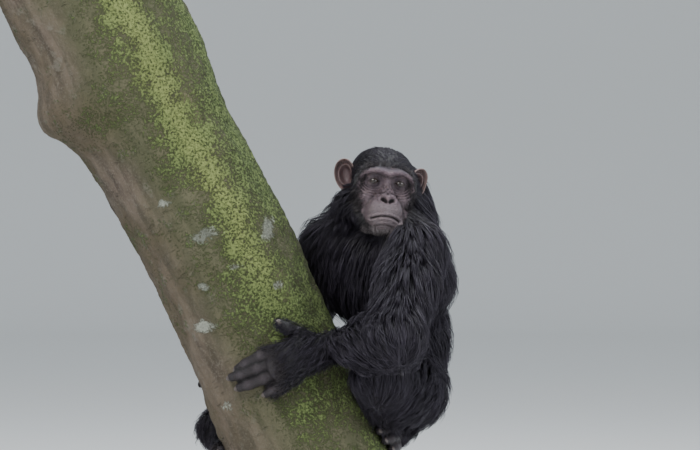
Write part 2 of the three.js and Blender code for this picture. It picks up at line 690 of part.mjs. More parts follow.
// Torso and neck
const spine = new THREE.CatmullRomCurve3([
  V(292, 142, 322),
  V(291, 141, 350),
  V(293, 138, 390),
  V(304, 126, 460),
  V(304, 115, 520),
  V(284, 90, 590),
  V(272, 70, 660),
  V(274, 58, 706),
  V(272, 40, 750),
  V(270, 30, 775),
]);
const JAW_ROOM = { centre: [0, 44, -86], radii: [56, 78, 52], rises: [0, 55, 110] }; // hollow under the chin
const CHEST_LEFT = V(0.7, -0.7, 0);
place("neck", COAT, (off) => {
  const body = sleeve(grown(neckField, off), between(NECK.low, inHead(0, -10, -20), 9, -0.2, 1), CHEST_LEFT, 18, 150)
    .intersect(above(NECK_CUT, 500, off))
    .intersect(below(HEAD_CUT, 500, off));
  return withLocks(body, coatLocks(neckField, NAPE_COAT, off));
});
place("torso", COAT, (off) => {
  let body = sleeve(grown(torsoField, off), spine.getSpacedPoints(13), CHEST_LEFT, 24, 260);
  body = body.intersect(below(NECK_CUT, 900, off));
  for (const rise of JAW_ROOM.rises) {
    const room = new THREE.SphereGeometry(1, 12, 8).scale(...JAW_ROOM.radii.map((r) => r - off));
    const [left, forward, up] = JAW_ROOM.centre;
    room.applyMatrix4(headTurn).translate(...inHead(left, forward, up + rise).toArray());
    body = body.subtract(solid(room));
  }
  for (const side of ["left", "right"]) {
    body = body.subtract(cutter(cuts[side].shoulder.point, cuts[side].shoulder.normal, 190, -off));
    body = body.subtract(cutter(cuts[side].hip.point, cuts[side].hip.normal, 240, -off));
  }
  return withLocks(body, coatLocks(bodyField, BACK_COAT, off));
});

// Arms and legs
const UP = V(0, 0, 1);
for (const side of ["left", "right"]) {
  const j = JOINT[side];
  const c = cuts[side];
  place("upper_arm_" + side, COAT, (off) => {
    const body = sleeve(grown(armField[side], off), between(j.shoulder, j.elbow, 9, 0, 1.2), UP, 12, 95)
      .intersect(above(c.shoulder, 700, off))
      .intersect(below(c.elbow, 700, off));
    return withLocks(body, coatLocks(bodyField, armCoat(j), off));
  });
  place("forearm_" + side, COAT, (off) => {
    const body = sleeve(grown(armField[side], off), between(j.elbow, j.wrist, 9, -0.2, 1.1), UP, 12, 90)
      .intersect(above(c.elbow, 700, off))
      .intersect(below(c.wrist, 700, off));
    return withLocks(body, coatLocks(bodyField, forearmCoat(j), off));
  });
  place("hand_" + side, HAND_SKIN, (off) => hand(side, off));
  place("thigh_" + side, COAT, (off) => {
    const body = sleeve(grown(legField[side], off), between(j.hip, j.knee, 8, 0, 1.2), UP, 14, 110)
      .intersect(above(c.hip, 700, off))
      .intersect(below(c.knee, 700, off));
    return withLocks(body, coatLocks(bodyField, thighCoat(j), off));
  });
  place("shin_" + side, COAT, (off) => {
    const body = sleeve(grown(legField[side], off), between(j.knee, j.ankle, 9, -0.2, 1.1), UP, 12, 95)
      .intersect(above(c.knee, 700, off))
      .intersect(below(c.ankle, 700, off));
    return withLocks(body, coatLocks(bodyField, shinCoat(j), off));
  });
  place("foot_" + side, HAND_SKIN, (off) => foot(side, off));
}

export default group;
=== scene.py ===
# A young chimpanzee, life size, clinging to a leaning cut log that a display stand holds.
# Sizes in the functions are millimetres, as in the solids, and meshes are made in metres.
import math

import bpy
import numpy as np
from mathutils import Matrix, Vector, kdtree, noise


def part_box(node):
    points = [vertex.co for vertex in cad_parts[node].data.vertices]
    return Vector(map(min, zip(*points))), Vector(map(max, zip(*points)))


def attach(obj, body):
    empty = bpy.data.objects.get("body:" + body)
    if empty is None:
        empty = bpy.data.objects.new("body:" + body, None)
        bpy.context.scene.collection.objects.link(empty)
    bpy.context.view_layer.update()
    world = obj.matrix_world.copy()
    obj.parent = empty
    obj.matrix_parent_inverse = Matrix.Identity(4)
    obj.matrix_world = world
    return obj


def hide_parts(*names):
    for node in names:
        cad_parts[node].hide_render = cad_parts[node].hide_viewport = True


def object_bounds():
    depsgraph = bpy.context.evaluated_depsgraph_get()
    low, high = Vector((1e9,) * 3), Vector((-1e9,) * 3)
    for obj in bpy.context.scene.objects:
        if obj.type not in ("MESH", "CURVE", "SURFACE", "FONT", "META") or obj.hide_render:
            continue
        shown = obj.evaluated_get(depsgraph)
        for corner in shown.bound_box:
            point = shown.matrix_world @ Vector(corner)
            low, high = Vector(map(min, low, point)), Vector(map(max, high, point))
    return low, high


bl_info = {
    "name": "Chimpanzee on a Log",
    "version": (1, 0, 0),
    "blender": (4, 5, 0),
    "location": "3D View > Sidebar > Chimpanzee",
    "description": "Life-size display model of a young chimpanzee on a cut log",
    "category": "Add Mesh",
}

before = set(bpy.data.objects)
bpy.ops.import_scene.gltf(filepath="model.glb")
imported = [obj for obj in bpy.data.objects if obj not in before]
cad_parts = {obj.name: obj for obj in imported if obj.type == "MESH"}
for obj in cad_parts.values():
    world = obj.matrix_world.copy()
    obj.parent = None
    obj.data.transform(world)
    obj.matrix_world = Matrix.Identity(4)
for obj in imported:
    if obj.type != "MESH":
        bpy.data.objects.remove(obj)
CAD_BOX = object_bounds()

MM = 0.001
RAD = math.pi / 180
SEED = 41


# Settings

class SkinSettings(bpy.types.PropertyGroup):
    """Bare skin and the closed under-coat below the hair"""

    grain: bpy.props.FloatProperty(
        name="Grain", description="Width of a face on the body", default=0.0052, unit="LENGTH")
    face: bpy.props.FloatVectorProperty(
        name="Face", description="Colour of the face", subtype="COLOR", default=(0.108, 0.077, 0.090))
    muzzle: bpy.props.FloatVectorProperty(
        name="Muzzle", description="Colour of the lips and chin", subtype="COLOR",
        default=(0.160, 0.127, 0.138))
    brow: bpy.props.FloatVectorProperty(
        name="Brow", description="Colour of the forehead", subtype="COLOR", default=(0.062, 0.048, 0.062))
    hand: bpy.props.FloatVectorProperty(
        name="Hand", description="Colour of hands and feet", subtype="COLOR", default=(0.023, 0.018, 0.021))
    ear: bpy.props.FloatVectorProperty(
        name="Ear", description="Colour of the ears", subtype="COLOR", default=(0.25, 0.178, 0.168))
    nail: bpy.props.FloatVectorProperty(
        name="Nail", description="Colour of the nails", subtype="COLOR", default=(0.085, 0.068, 0.062))
    iris: bpy.props.FloatVectorProperty(
        name="Iris", description="Colour of the iris", subtype="COLOR", default=(0.022, 0.009, 0.005))


class CoatSettings(bpy.types.PropertyGroup):
    """Hair of the body"""

    hairs: bpy.props.IntProperty(name="Hairs", description="Number of hair tufts", default=87000)
    guides: bpy.props.IntProperty(
        name="Clumps", description="Number of clumps the tufts lean into", default=15000)
    width: bpy.props.FloatProperty(
        name="Width", description="Width of a tuft", default=0.00145, unit="LENGTH")
    dark: bpy.props.FloatVectorProperty(
        name="Dark", description="Colour deep in the coat", subtype="COLOR", default=(0.010, 0.009, 0.011))
    # The tips' colour is partly the hair's own tone and partly painted sheen
    light: bpy.props.FloatVectorProperty(
        name="Light", description="Colour of the tips", subtype="COLOR", default=(0.047, 0.040, 0.058))


class LogSettings(bpy.types.PropertyGroup):
    """Bark of the log"""

    furrow: bpy.props.FloatProperty(
        name="Furrow", description="Depth of the bark's furrows", default=0.004, unit="LENGTH")
    bark: bpy.props.FloatVectorProperty(
        name="Bark", description="Colour of bare bark", subtype="COLOR", default=(0.155, 0.120, 0.094))
    moss: bpy.props.FloatVectorProperty(
        name="Moss", description="Colour of the moss", subtype="COLOR", default=(0.125, 0.178, 0.062))
    lichen: bpy.props.FloatVectorProperty(
        name="Lichen", description="Colour of the lichen", subtype="COLOR", default=(0.38, 0.40, 0.34))
    wood: bpy.props.FloatVectorProperty(
        name="Wood", description="Colour of the sawn ends", subtype="COLOR", default=(0.36, 0.23, 0.13))


class StandSettings(bpy.types.PropertyGroup):
    """Display stand"""

    bevel: bpy.props.FloatProperty(
        name="Bevel", description="Rounding of the board's edges", default=0.004, unit="LENGTH")
    board: bpy.props.FloatVectorProperty(
        name="Board", description="Colour of the base board", subtype="COLOR", default=(0.48, 0.45, 0.40))
    rod: bpy.props.FloatVectorProperty(
        name="Rod", description="Colour of the rods", subtype="COLOR", default=(0.05, 0.052, 0.056))


# Shaders

class Wire:
    """A node's output, with arithmetic that adds Math nodes"""

    def __init__(self, shade, socket):
        self.shade = shade
        self.socket = socket

    def maths(self, operation, first, second, clamp=False):
        return self.shade.node("ShaderNodeMath", {0: first, 1: second}, operation=operation, use_clamp=clamp)

    def __add__(self, other):
        return self.maths("ADD", self, other)

    def __radd__(self, other):
        return self.maths("ADD", other, self)

    def __sub__(self, other):
        return self.maths("SUBTRACT", self, other)

    def __rsub__(self, other):
        return self.maths("SUBTRACT", other, self)

    def __mul__(self, other):
        return self.maths("MULTIPLY", self, other)

    def __rmul__(self, other):
        return self.maths("MULTIPLY", other, self)

    def clamped(self):
        """Kept from 0 to 1"""
        return self.maths("ADD", self, 0.0, True)

    def between(self, low, high):
        """0 below low, 1 above high, and smooth from one to the other"""
        steps = {"Value": self, "From Min": low, "From Max": high}
        return self.shade.node("ShaderNodeMapRange", steps, interpolation_type="SMOOTHSTEP")


class Shade:
    """A material that is written as expressions"""

    def __init__(self, name):
        self.material = bpy.data.materials.new(name)
        self.material.use_nodes = True
        self.tree = self.material.node_tree
        self.surface = self.tree.nodes["Principled BSDF"]

    def node(self, kind, values=None, output=0, stops=None, **settings):
        made = self.tree.nodes.new(kind)
        for key, value in settings.items():
            setattr(made, key, value)
        if stops:
            ramp = made.color_ramp
            while len(ramp.elements) < len(stops):
                ramp.elements.new(0.5)
            for element, (position, colour) in zip(ramp.elements, stops):
                element.position = position
                element.color = (*colour, 1)
        for place, value in (values or {}).items():
            self.put(made.inputs[place], value)
        return Wire(self, made.outputs[output])

    def put(self, socket, value):
        if isinstance(value, Wire):
            self.tree.links.new(value.socket, socket)
        elif socket.type == "RGBA":
            socket.default_value = (*value[:3], 1)
        else:
            socket.default_value = value

    def set(self, **values):
        for key, value in values.items():
            self.put(self.surface.inputs[key.replace("_", " ")], value)

    def place(self, scale=(1, 1, 1)):
        """Object coordinates in metres, scaled"""
        where = self.node("ShaderNodeTexCoord", output="Object")
        return self.node("ShaderNodeMapping", {"Vector": where, "Scale": scale})

    def value(self, name):
        return self.node("ShaderNodeAttribute", output="Fac", attribute_name=name)

    def colour(self, name):
        return self.node("ShaderNodeAttribute", output="Color", attribute_name=name)

    def noise(self, scale, detail=3.0, rough=0.55, where=None, warp=0.0):
        values = {"Vector": where or self.place(), "Scale": scale, "Detail": detail, "Roughness": rough}
        return self.node("ShaderNodeTexNoise", {**values, "Distortion": warp})

    def cells(self, scale, where=None, feature="F1"):
        return self.node(
            "ShaderNodeTexVoronoi", {"Vector": where or self.place(), "Scale": scale}, feature=feature)

    def mix(self, share, first, second, blend="MIX"):
        return self.node(
            "ShaderNodeMix", {0: share, 6: first, 7: second}, output=2, data_type="RGBA", blend_type=blend)

    def bump(self, height, strength, distance):
        values = {"Height": height, "Strength": strength, "Distance": distance}
        self.put(self.surface.inputs["Normal"], self.node("ShaderNodeBump", values))


# Geometry in numbers: points are rows, and a field gives a distance for each, below zero inside

def at(x, y, z):
    return np.array([x, y, z], float)


def unit(v):
    return v / np.maximum(np.linalg.norm(v, axis=-1, keepdims=True), 1e-12)


def smooth(x, low, high):
    t = np.clip((x - low) / (high - low), 0, 1)
    return t * t * (3 - 2 * t)


def bell(x, width):
    return np.exp(-((x / width) ** 2))


def lerp(a, b, t):
    return a + (b - a) * t


def round_cone(a, b, ra, rb):
    along = b - a

    def field(p):
        t = np.clip((p - a) @ along / (along @ along), 0, 1)
        return np.linalg.norm(p - a - t[:, None] * along, axis=1) - (ra + (rb - ra) * t)

    field.balls = [(lerp(a, b, t), lerp(ra, rb, t)) for t in np.linspace(0, 1, 6)]
    return field


def flat_cone(a, b, wa, wb, flat, out):
    along = b - a

    def field(p):
        t = np.clip((p - a) @ along / (along @ along), 0, 1)
        q = p - a - t[:, None] * along
        q += np.outer(q @ out * (1 / flat - 1), out)
        return 0.8 * (np.linalg.norm(q, axis=1) - (wa + (wb - wa) * t))

    side = unit(np.cross(out, along))
    field.balls = [
        (lerp(a, b, t) + side * s * (lerp(wa, wb, t) * (1 - flat)), lerp(wa, wb, t) * flat)
        for t in np.linspace(0, 1, 4) for s in (-1, 0, 1)
    ]
    return field


def ellipsoid(centre, radii, turn):
    radii = np.array(radii, float)

    def field(p):
        q = (p - centre) @ turn
        near = np.linalg.norm(q / radii, axis=1)
        slope = np.linalg.norm(q / radii ** 2, axis=1)
        return near * (near - 1) / np.maximum(slope, 1e-9)

    field.balls = [(centre, turn * radii)]
    return field


def blend(a, b, k):
    h = np.maximum(k - np.abs(a - b), 0) / k
    return np.minimum(a, b) - h * h * k / 4


def merged(masses, k):
    def field(p):
        d = np.full(len(p), 1e3)
        for mass in masses:
            d = blend(d, mass(p), k)
        return d

    return field


def slope_of(field, p, e=0.6):
    corners = np.array([[1, -1, -1], [-1, -1, 1], [-1, 1, -1], [1, 1, 1]], float)
    return sum(corner * field(p + corner * e)[:, None] for corner in corners) / (4 * e)


def settle(field, p, steps=3, most=9.0):
    """Points moved along the field's slope until they lie on its surface"""
    for _ in range(steps):
        g = slope_of(field, p)
        move = -field(p)[:, None] * g / np.maximum((g * g).sum(1), 0.1)[:, None]
        size = np.linalg.norm(move, axis=1, keepdims=True)
        p = p + move * np.minimum(1, most / np.maximum(size, 1e-9))
    return p


def facing(yaw, pitch=0.0, roll=0.0):
    """Columns are the left, forward and up of a body that faces the viewer, then turned"""
    turn = Matrix.Rotation(yaw * RAD, 3, "Z") @ Matrix.Rotation(-pitch * RAD, 3, "X")
    turn = turn @ Matrix.Rotation(roll * RAD, 3, "Y")
    return np.array(turn) @ np.array([[1, 0, 0], [0, -1, 0], [0, 0, 1]], float)


# The log's axis and bark

LOG_RADIUS = 147
LOG_AXIS = np.array([
    (170, -12, 150), (116, -13, 271), (71, -14, 371), (32, -16, 471),
    (-12, -20, 570), (-56, -26, 670), (-109, -32, 770), (-166, -38, 869),
    (-215, -44, 968), (-265, -50, 1067), (-320, -56, 1166), (-359, -60, 1246),
], float)


def log_samples(count=1201):
    """Points at even steps along a smooth curve through the axis"""
    ends = np.vstack([2 * LOG_AXIS[0] - LOG_AXIS[1], LOG_AXIS, 2 * LOG_AXIS[-1] - LOG_AXIS[-2]])
    rows = []
    for i in range(1, len(ends) - 2):
        p0, p1, p2, p3 = ends[i - 1:i + 3]
        a, b, c = (np.linalg.norm(v) ** 0.5 for v in (p1 - p0, p2 - p1, p3 - p2))
        m1 = b * ((p1 - p0) / a - (p2 - p0) / (a + b) + (p2 - p1) / b)
        m2 = b * ((p2 - p1) / b - (p3 - p1) / (b + c) + (p3 - p2) / c)
        t = np.linspace(0, 1, 61)[:-1, None]
        cube = (2 * p1 - 2 * p2 + m1 + m2) * t ** 3 + (3 * p2 - 3 * p1 - 2 * m1 - m2) * t ** 2
        rows.append(cube + m1 * t + p1)
    line = np.vstack(rows + [ends[-2][None]])
    reached = np.concatenate([[0], np.cumsum(np.linalg.norm(np.diff(line, axis=0), axis=1))])
    even = np.linspace(0, reached[-1], count)
    return np.stack([np.interp(even, reached, line[:, k]) for k in range(3)], 1), reached[-1]


LOG_LINE, LOG_LENGTH = log_samples()
SPAN = 8  # Samples on each side that give the axis its direction
STRIDE, CHUNK = 12, 20000  # Samples left out, and points taken at a time, when the log is searched


def log_frame(along):
    """Centre, axis, and the two directions across the log, the second towards the viewer"""
    place = np.clip(np.asarray(along, float) / LOG_LENGTH, 0, 1) * (len(LOG_LINE) - 1)
    low = np.clip(place.astype(int), 0, len(LOG_LINE) - 2)
    centre = LOG_LINE[low] + (LOG_LINE[low + 1] - LOG_LINE[low]) * (place - low)[..., None]
    inner = np.clip(low, SPAN, len(LOG_LINE) - SPAN - 2)
    axis = unit(LOG_LINE[inner + SPAN + 1] - LOG_LINE[inner - SPAN])
    toward = unit(at(0, -1, 0) - axis * (axis @ at(0, -1, 0))[..., None])
    return centre, axis, -np.cross(axis, toward), toward


def log_radius(along, angle):
    """Radius of the bark, with soft lobes, a burl and a swelling towards the top"""
    lobes = 3.2 * np.sin(3 * angle + along / 260) + 2.2 * np.sin(5 * angle - along / 170)
    burl = 40 * bell(along - 945, 62) * np.maximum(0, np.cos(angle - 0.25)) ** 3
    return LOG_RADIUS + lobes + burl + 16 * smooth(along, 780, 1000)


def log_point(along, degrees, off=0.0):
    along, angle = np.asarray(along, float), np.asarray(degrees, float) * RAD
    centre, _, under, toward = log_frame(along)
    out = under * np.cos(angle)[..., None] + toward * np.sin(angle)[..., None]
    return centre + out * (log_radius(along, angle) + off)[..., None]


def off_log(p):
    """How far points lie off the bark"""
    sparse = LOG_LINE[::STRIDE]
    gap = np.empty(len(p))
    for start in range(0, len(p), CHUNK):
        part = p[start:start + CHUNK]
        near = ((part[:, None] - sparse[None]) ** 2).sum(2).argmin(1)
        along = near * STRIDE * LOG_LENGTH / (len(LOG_LINE) - 1)
        centre, axis, _, _ = log_frame(along)
        slide = ((part - centre) * axis).sum(1)
        along = np.clip(along + slide, 0, LOG_LENGTH)
        centre, _, under, toward = log_frame(along)
        q = part - centre
        x, y = (q * under).sum(1), (q * toward).sum(1)
        gap[start:start + CHUNK] = np.hypot(x, y) - log_radius(along, np.arctan2(y, x))
    return gap


# The animal's masses, the same as in the solids but without the coat's depth

JOINTS = {
    "left": dict(shoulder=at(322, -75, 668), elbow=at(286, -318, 500), wrist=at(167, -136, 486),
                 hip=at(326, 69, 378), knee=at(258, -150, 428), ankle=at(290, 70, 305)),
    "right": dict(shoulder=at(165, 160, 672), elbow=at(95, 372, 515), wrist=at(48, 160, 470),
                  hip=at(254, 211, 378), knee=at(25, 290, 395), ankle=at(-80, 100, 306)),
}
SIDES = ("left", "right")
NECK = (at(280, 52, 735), at(270, 24, 792))
NAPE = (at(302, 84, 722), at(290, 64, 792))
TORSO = [
    ellipsoid(at(266, 64, 664), (128, 92, 72), facing(-48)),
    ellipsoid(at(278, 80, 608), (138, 106, 80), facing(-48)),
    ellipsoid(at(307, 125, 486), (90, 83, 92), facing(-60)),
    ellipsoid(at(290, 140, 386), (98, 78, 66), facing(-65)),
]
NECKS = [round_cone(*NECK, 66, 58), round_cone(*NAPE, 62, 54)]
BONES = {}
for one_side in SIDES:
    j = JOINTS[one_side]
    arm, fore = lerp(j["shoulder"], j["elbow"], 0.45), lerp(j["elbow"], j["wrist"], 0.35)
    thigh, calf = lerp(j["hip"], j["knee"], 0.4), lerp(j["knee"], j["ankle"], 0.4)
    BONES["upper_arm_" + one_side] = [
        round_cone(j["shoulder"], arm, 50, 43), round_cone(arm, j["elbow"], 43, 33)]
    BONES["forearm_" + one_side] = [
        round_cone(j["elbow"], fore, 33, 38), round_cone(fore, j["wrist"], 38, 23)]
    BONES["thigh_" + one_side] = [
        round_cone(j["hip"], thigh, 62, 60), round_cone(thigh, j["knee"], 60, 42)]
    BONES["shin_" + one_side] = [
        round_cone(j["knee"], calf, 42, 42), round_cone(calf, j["ankle"], 42, 25)]
SLOPES = [round_cone(lerp(*NECK, 0.4), JOINTS[s]["shoulder"], 50, 50) for s in SIDES]

HEAD_CENTRE = at(264, 2, 820)
HEAD_TURN = facing(9, -3, 7)
EYE_RADIUS = 11.5
EYE_OUT, EYE_UP = 26, -13
EYES = {"left": (EYE_OUT, 60, EYE_UP), "right": (-EYE_OUT, 60, EYE_UP)}


def in_head(left, forward, up):
    """World place of a place on the head, measured from its centre"""
    return HEAD_CENTRE + HEAD_TURN @ at(left, forward, up)


def head_places(p):
    return (p - HEAD_CENTRE) @ HEAD_TURN


def head_ball(place, radii):
    return ellipsoid(in_head(*place), radii, HEAD_TURN)


def head_cone(a, b, ra, rb):
    return round_cone(in_head(*a), in_head(*b), ra, rb)


HEAD = [
    head_ball((0, 0, 2), (60, 78, 52)), head_ball((0, -34, -22), (54, 46, 48)),
    head_ball((0, 34, -30), (54, 36, 48)), head_ball((0, 66, -70), (38, 44, 33)),
    head_ball((0, 87, -68), (32, 30, 26)), head_ball((0, 74, -93), (32, 38, 22)),
    head_ball((0, 16, -72), (46, 50, 34)), head_cone((0, 64, -14), (0, 88, -44), 9, 13),
]
for s in (1, -1):
    HEAD += [
        head_cone((s * 20, 66, 7), (0, 68, 3), 9, 8), head_cone((s * 20, 66, 7), (s * 45, 52, 2), 9, 8),
        head_cone((s * 45, 52, 2), (s * 51, 44, -24), 8, 10),
        head_cone((s * 49, 44, -26), (s * 34, 58, -46), 12, 18),
        head_cone((s * 44, 8, -58), (s * 28, 58, -88), 24, 24),
    ]
SOCKETS = [head_ball((s * EYE_OUT, 76, EYE_UP), (17, 13, 14)) for s in (1, -1)]
LID_RADIUS = EYE_RADIUS + 2.0
LIDS = [head_ball(centre, (LID_RADIUS,) * 3) for centre in EYES.values()]
off_head = merged(HEAD, 12)


def head_field(p):
    """The head with its sockets, and the lids' balls in them"""
    d = off_head(p)
    for socket in SOCKETS:
        d = -blend(-d, socket(p), 7)
    for lids in LIDS:
        d = blend(d, lids(p), 3)
    return d


# Hands and feet, laid on the bark

GRIPS = {
    "hand_left": (318, 136, -86, 1), "hand_right": (338, 264, 92, -1),
    "foot_left": (92, 226, -82, 1), "foot_right": (236, 325, 135, -1),
}
FINGERS = [
    [(94, 26, 15), (138, 25, 18), (172, 18, 12), (194, 13, 8)],
    [(100, 5, 16), (150, 4, 19), (188, 1, 12), (214, -1, 8)],
    [(94, -16, 15), (144, -20, 18), (180, -24, 12), (204, -26, 8)],
    [(84, -36, 14), (112, -43, 16), (134, -48, 11), (150, -51, 8)],
    [(26, 20, 20), (52, 42, 13), (68, 58, 10), (80, 72, 8)],
]
TOES = [
    [(122, 14, 15), (152, 16, 18), (172, 17, 12), (186, 17, 8)],
    [(124, -4, 15), (156, -5, 18), (178, -5, 12), (192, -5, 8)],
    [(118, -21, 14), (148, -24, 17), (168, -25, 12), (182, -26, 8)],
    [(108, -36, 13), (134, -41, 15), (152, -44, 11), (164, -46, 8)],
    [(58, 22, 18), (86, 46, 14), (104, 62, 11), (116, 74, 9)],
]
DIGIT = (12.5, 11.5, 10.5, 8.5)
PALM = ([(-8, 0, 30), (30, 0, 25), (68, 0, 19), (98, -4, 15)], (22, 29, 37, 38), 0.5)
SOLE = ([(-14, 0, 23), (36, 0, 27), (84, 0, 21), (122, -8, 15)], (23, 27, 32, 35), 0.62)


def digits_of(name):
    return FINGERS if name.startswith("hand") else TOES


def gripper(name):
    """A function that lays places of a hand or foot (forward, sideways, off the bark) on the log"""
    along, degrees, heading, side = GRIPS[name]
    turn, per_degree = heading * RAD, (LOG_RADIUS + 15) * RAD

    def place(forward, sideways, off):
        across = forward * math.sin(turn) + sideways * side * math.cos(turn)
        up = along + forward * math.cos(turn) - sideways * side * math.sin(turn)
        return log_point(up, degrees + across / per_degree, off)

    return place


def grasp(name):
    """Masses of a hand or foot: three of the palm or sole, then three of each digit"""
    place = gripper(name)
    places, widths, flat = PALM if name.startswith("hand") else SOLE
    out = unit(place(50, 0, 60) - place(50, 0, 0))
    points = [place(*p) for p in places]
    masses = [flat_cone(points[i], points[i + 1], widths[i], widths[i + 1], flat, out) for i in range(3)]
    for digit in digits_of(name):
        ends = [place(*p) for p in digit]
        masses += [round_cone(ends[i], ends[i + 1], DIGIT[i], DIGIT[i + 1]) for i in range(3)]
    if name.startswith("foot"):
        ankle = JOINTS[name[5:]]["ankle"]
        masses.append(round_cone(ankle, place(38, 0, 26), 25, 24))
    return masses


HAND_REACH = 190
GRASPS = {name: grasp(name) for name in GRIPS}
BODY = TORSO + NECKS + SLOPES + [mass for masses in BONES.values() for mass in masses]
off_neck, off_body = merged(NECKS, 10), merged(BODY, 26)
off_grasp = {name: merged(masses, 5) for name, masses in GRASPS.items()}


def skin_field(p):
    """The whole animal below its coat"""
    head = blend(head_field(p), off_neck(p), 24)
    d = blend(head, off_body(p), 8)
    for name, masses in GRASPS.items():
        reached = np.linalg.norm(p - masses[1].balls[0][0], axis=1) < HAND_REACH
        if reached.any():
            d[reached] = blend(d[reached], off_grasp[name](p[reached]), 12)
    return d


# Mesh helpers

EDGE_ANGLE = 35 * RAD


def deselect():
    for one in bpy.context.selected_objects:
        one.select_set(False)


def take(piece):
    deselect()
    piece.select_set(True)
    bpy.context.view_layer.objects.active = piece


def points_of(piece):
    flat = np.empty(len(piece.data.vertices) * 3)
    piece.data.vertices.foreach_get("co", flat)
    return flat.reshape(-1, 3) / MM


def set_points(piece, points):
    piece.data.vertices.foreach_set("co", np.ascontiguousarray(points * MM, np.float32).ravel())
    piece.data.update()


def apply_modifier(piece, kind, **settings):
    take(piece)
    modifier = piece.modifiers.new(kind.lower(), kind)
    for key, value in settings.items():
        setattr(modifier, key, value)
    bpy.ops.object.modifier_apply(modifier=modifier.name)


def primitive(kind, name, **sizes):
    """A new primitive with its place in its mesh"""
    deselect()
    getattr(bpy.ops.mesh, "primitive_" + kind + "_add")(**sizes)
    piece = bpy.context.object
    piece.name = piece.data.name = name
    bpy.ops.object.transform_apply(location=True, rotation=True, scale=True)
    return piece


def choose_faces(piece, chosen):
    take(piece)
    bpy.ops.object.mode_set(mode="EDIT")
    bpy.ops.mesh.select_mode(type="FACE")
    bpy.ops.mesh.select_all(action="DESELECT")
    bpy.ops.object.mode_set(mode="OBJECT")
    piece.data.polygons.foreach_set("select", chosen)
    bpy.ops.object.mode_set(mode="EDIT")


def mend(piece, merge=0.0):
    """Points closer than merge metres join, and faces turn outwards"""
    take(piece)
    bpy.ops.object.mode_set(mode="EDIT")
    bpy.ops.mesh.select_all(action="SELECT")
    if merge:
        bpy.ops.mesh.remove_doubles(threshold=merge)
    bpy.ops.mesh.normals_make_consistent(inside=False)
    bpy.ops.object.mode_set(mode="OBJECT")


def face_centres(piece):
    flat = np.empty(len(piece.data.polygons) * 3)
    piece.data.polygons.foreach_get("center", flat)
    return flat.reshape(-1, 3) / MM


def shade_smooth(piece):
    take(piece)
    bpy.ops.object.shade_smooth()


def shade_edges(piece):
    """Smooth, apart from edges sharper than EDGE_ANGLE"""
    take(piece)
    bpy.ops.object.shade_smooth_by_angle(angle=EDGE_ANGLE)


def put_value(piece, name, values, kind="FLOAT"):
    attribute = piece.data.attributes.new(name, kind, "POINT")
    values = np.asarray(values, np.float32)
    if kind == "FLOAT_COLOR":
        rows = np.ones((len(values), 4), np.float32)
        rows[:, :3] = values
        attribute.data.foreach_set("color", rows.ravel())
    else:
        attribute.data.foreach_set("value", values)


def dress(piece, material, slot, *nodes):
    piece.data.materials.clear()
    piece.data.materials.append(material)
    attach(piece, "root")
    if nodes:
        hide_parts(*nodes)


def rough_noise(points, size, octaves):
    """Fractal noise from -1 to 1 at each point, with a feature size in millimetres"""
    return np.array([noise.fractal(Vector(p), 0.9, 2.0, octaves) for p in points / size])


# Skin marks, with painted light and shade on the face and hands: how bare each place is, and its colour
# Places on the head are millimetres left, forward and up of its centre

BARE_FROM = {"hand": (98, 132), "foot": (74, 118)}  # Where the hair ends, forward of the wrist or heel
FACE_REACH, RELIEF_REACH, CHIN_REACH = 190, 170, 160


def bare_face(places):
    """1 on the bare face, 0 under the hair"""
    left, forward, up = places.T
    high = np.where(up > -40, 58, 68)
    wide = 57 - 0.3 * np.maximum(-40 - up, 0)
    reach = (np.abs(left / wide) ** 3 + np.abs((up + 40) / high) ** 3) ** (1 / 3)
    return smooth(1.07 - reach, 0, 0.14) * smooth(forward, 14, 34)


def bare_hand(p):
    """1 on fingers, toes and palms, 0 from the wrist up"""
    bare = np.zeros(len(p))
    for name in GRIPS:
        place = gripper(name)
        start, ahead = place(0, 0, 20), unit(place(60, 0, 20) - place(0, 0, 20))
        along = (p - start) @ ahead
        near = np.linalg.norm(p - place(80, 0, 15), axis=1) < 175
        on = np.zeros(len(p))
        if near.any():
            on[near] = smooth(9 - off_grasp[name](p[near]), 0, 6) * smooth(along[near], *BARE_FROM[name[:4]])
        bare = np.maximum(bare, on)
    return bare


def hand_shade_and_highlights(p):
    """Painted shade between the digits and painted highlights over their knuckles, as a factor of the skin's
    colour
    """
    tone = np.ones(len(p))
    for name in GRIPS:
        place, digits = gripper(name), digits_of(name)
        near = np.linalg.norm(p - place(100, 0, 15), axis=1) < 165
        if not near.any():
            continue
        masses = GRASPS[name][3:3 + 3 * len(digits)]
        gaps = np.stack([
            np.min([mass(p[near]) for mass in masses[i:i + 3]], axis=0) for i in range(0, len(masses), 3)
        ], 1)
        gaps.sort(axis=1)
        knuckles = [place(digit[k][0], digit[k][1], digit[k][2] + 11) for digit in digits for k in (1, 2)]
        raised = np.max([bell(np.linalg.norm(p[near] - one, axis=1), 9) for one in knuckles], axis=0)
        # Painted highlights on the knuckles and painted shade between the digits
        tone[near] = (1 + 1.1 * raised) * (1 - 0.82 * smooth(8 - gaps[:, 1], 0, 7))
    return tone


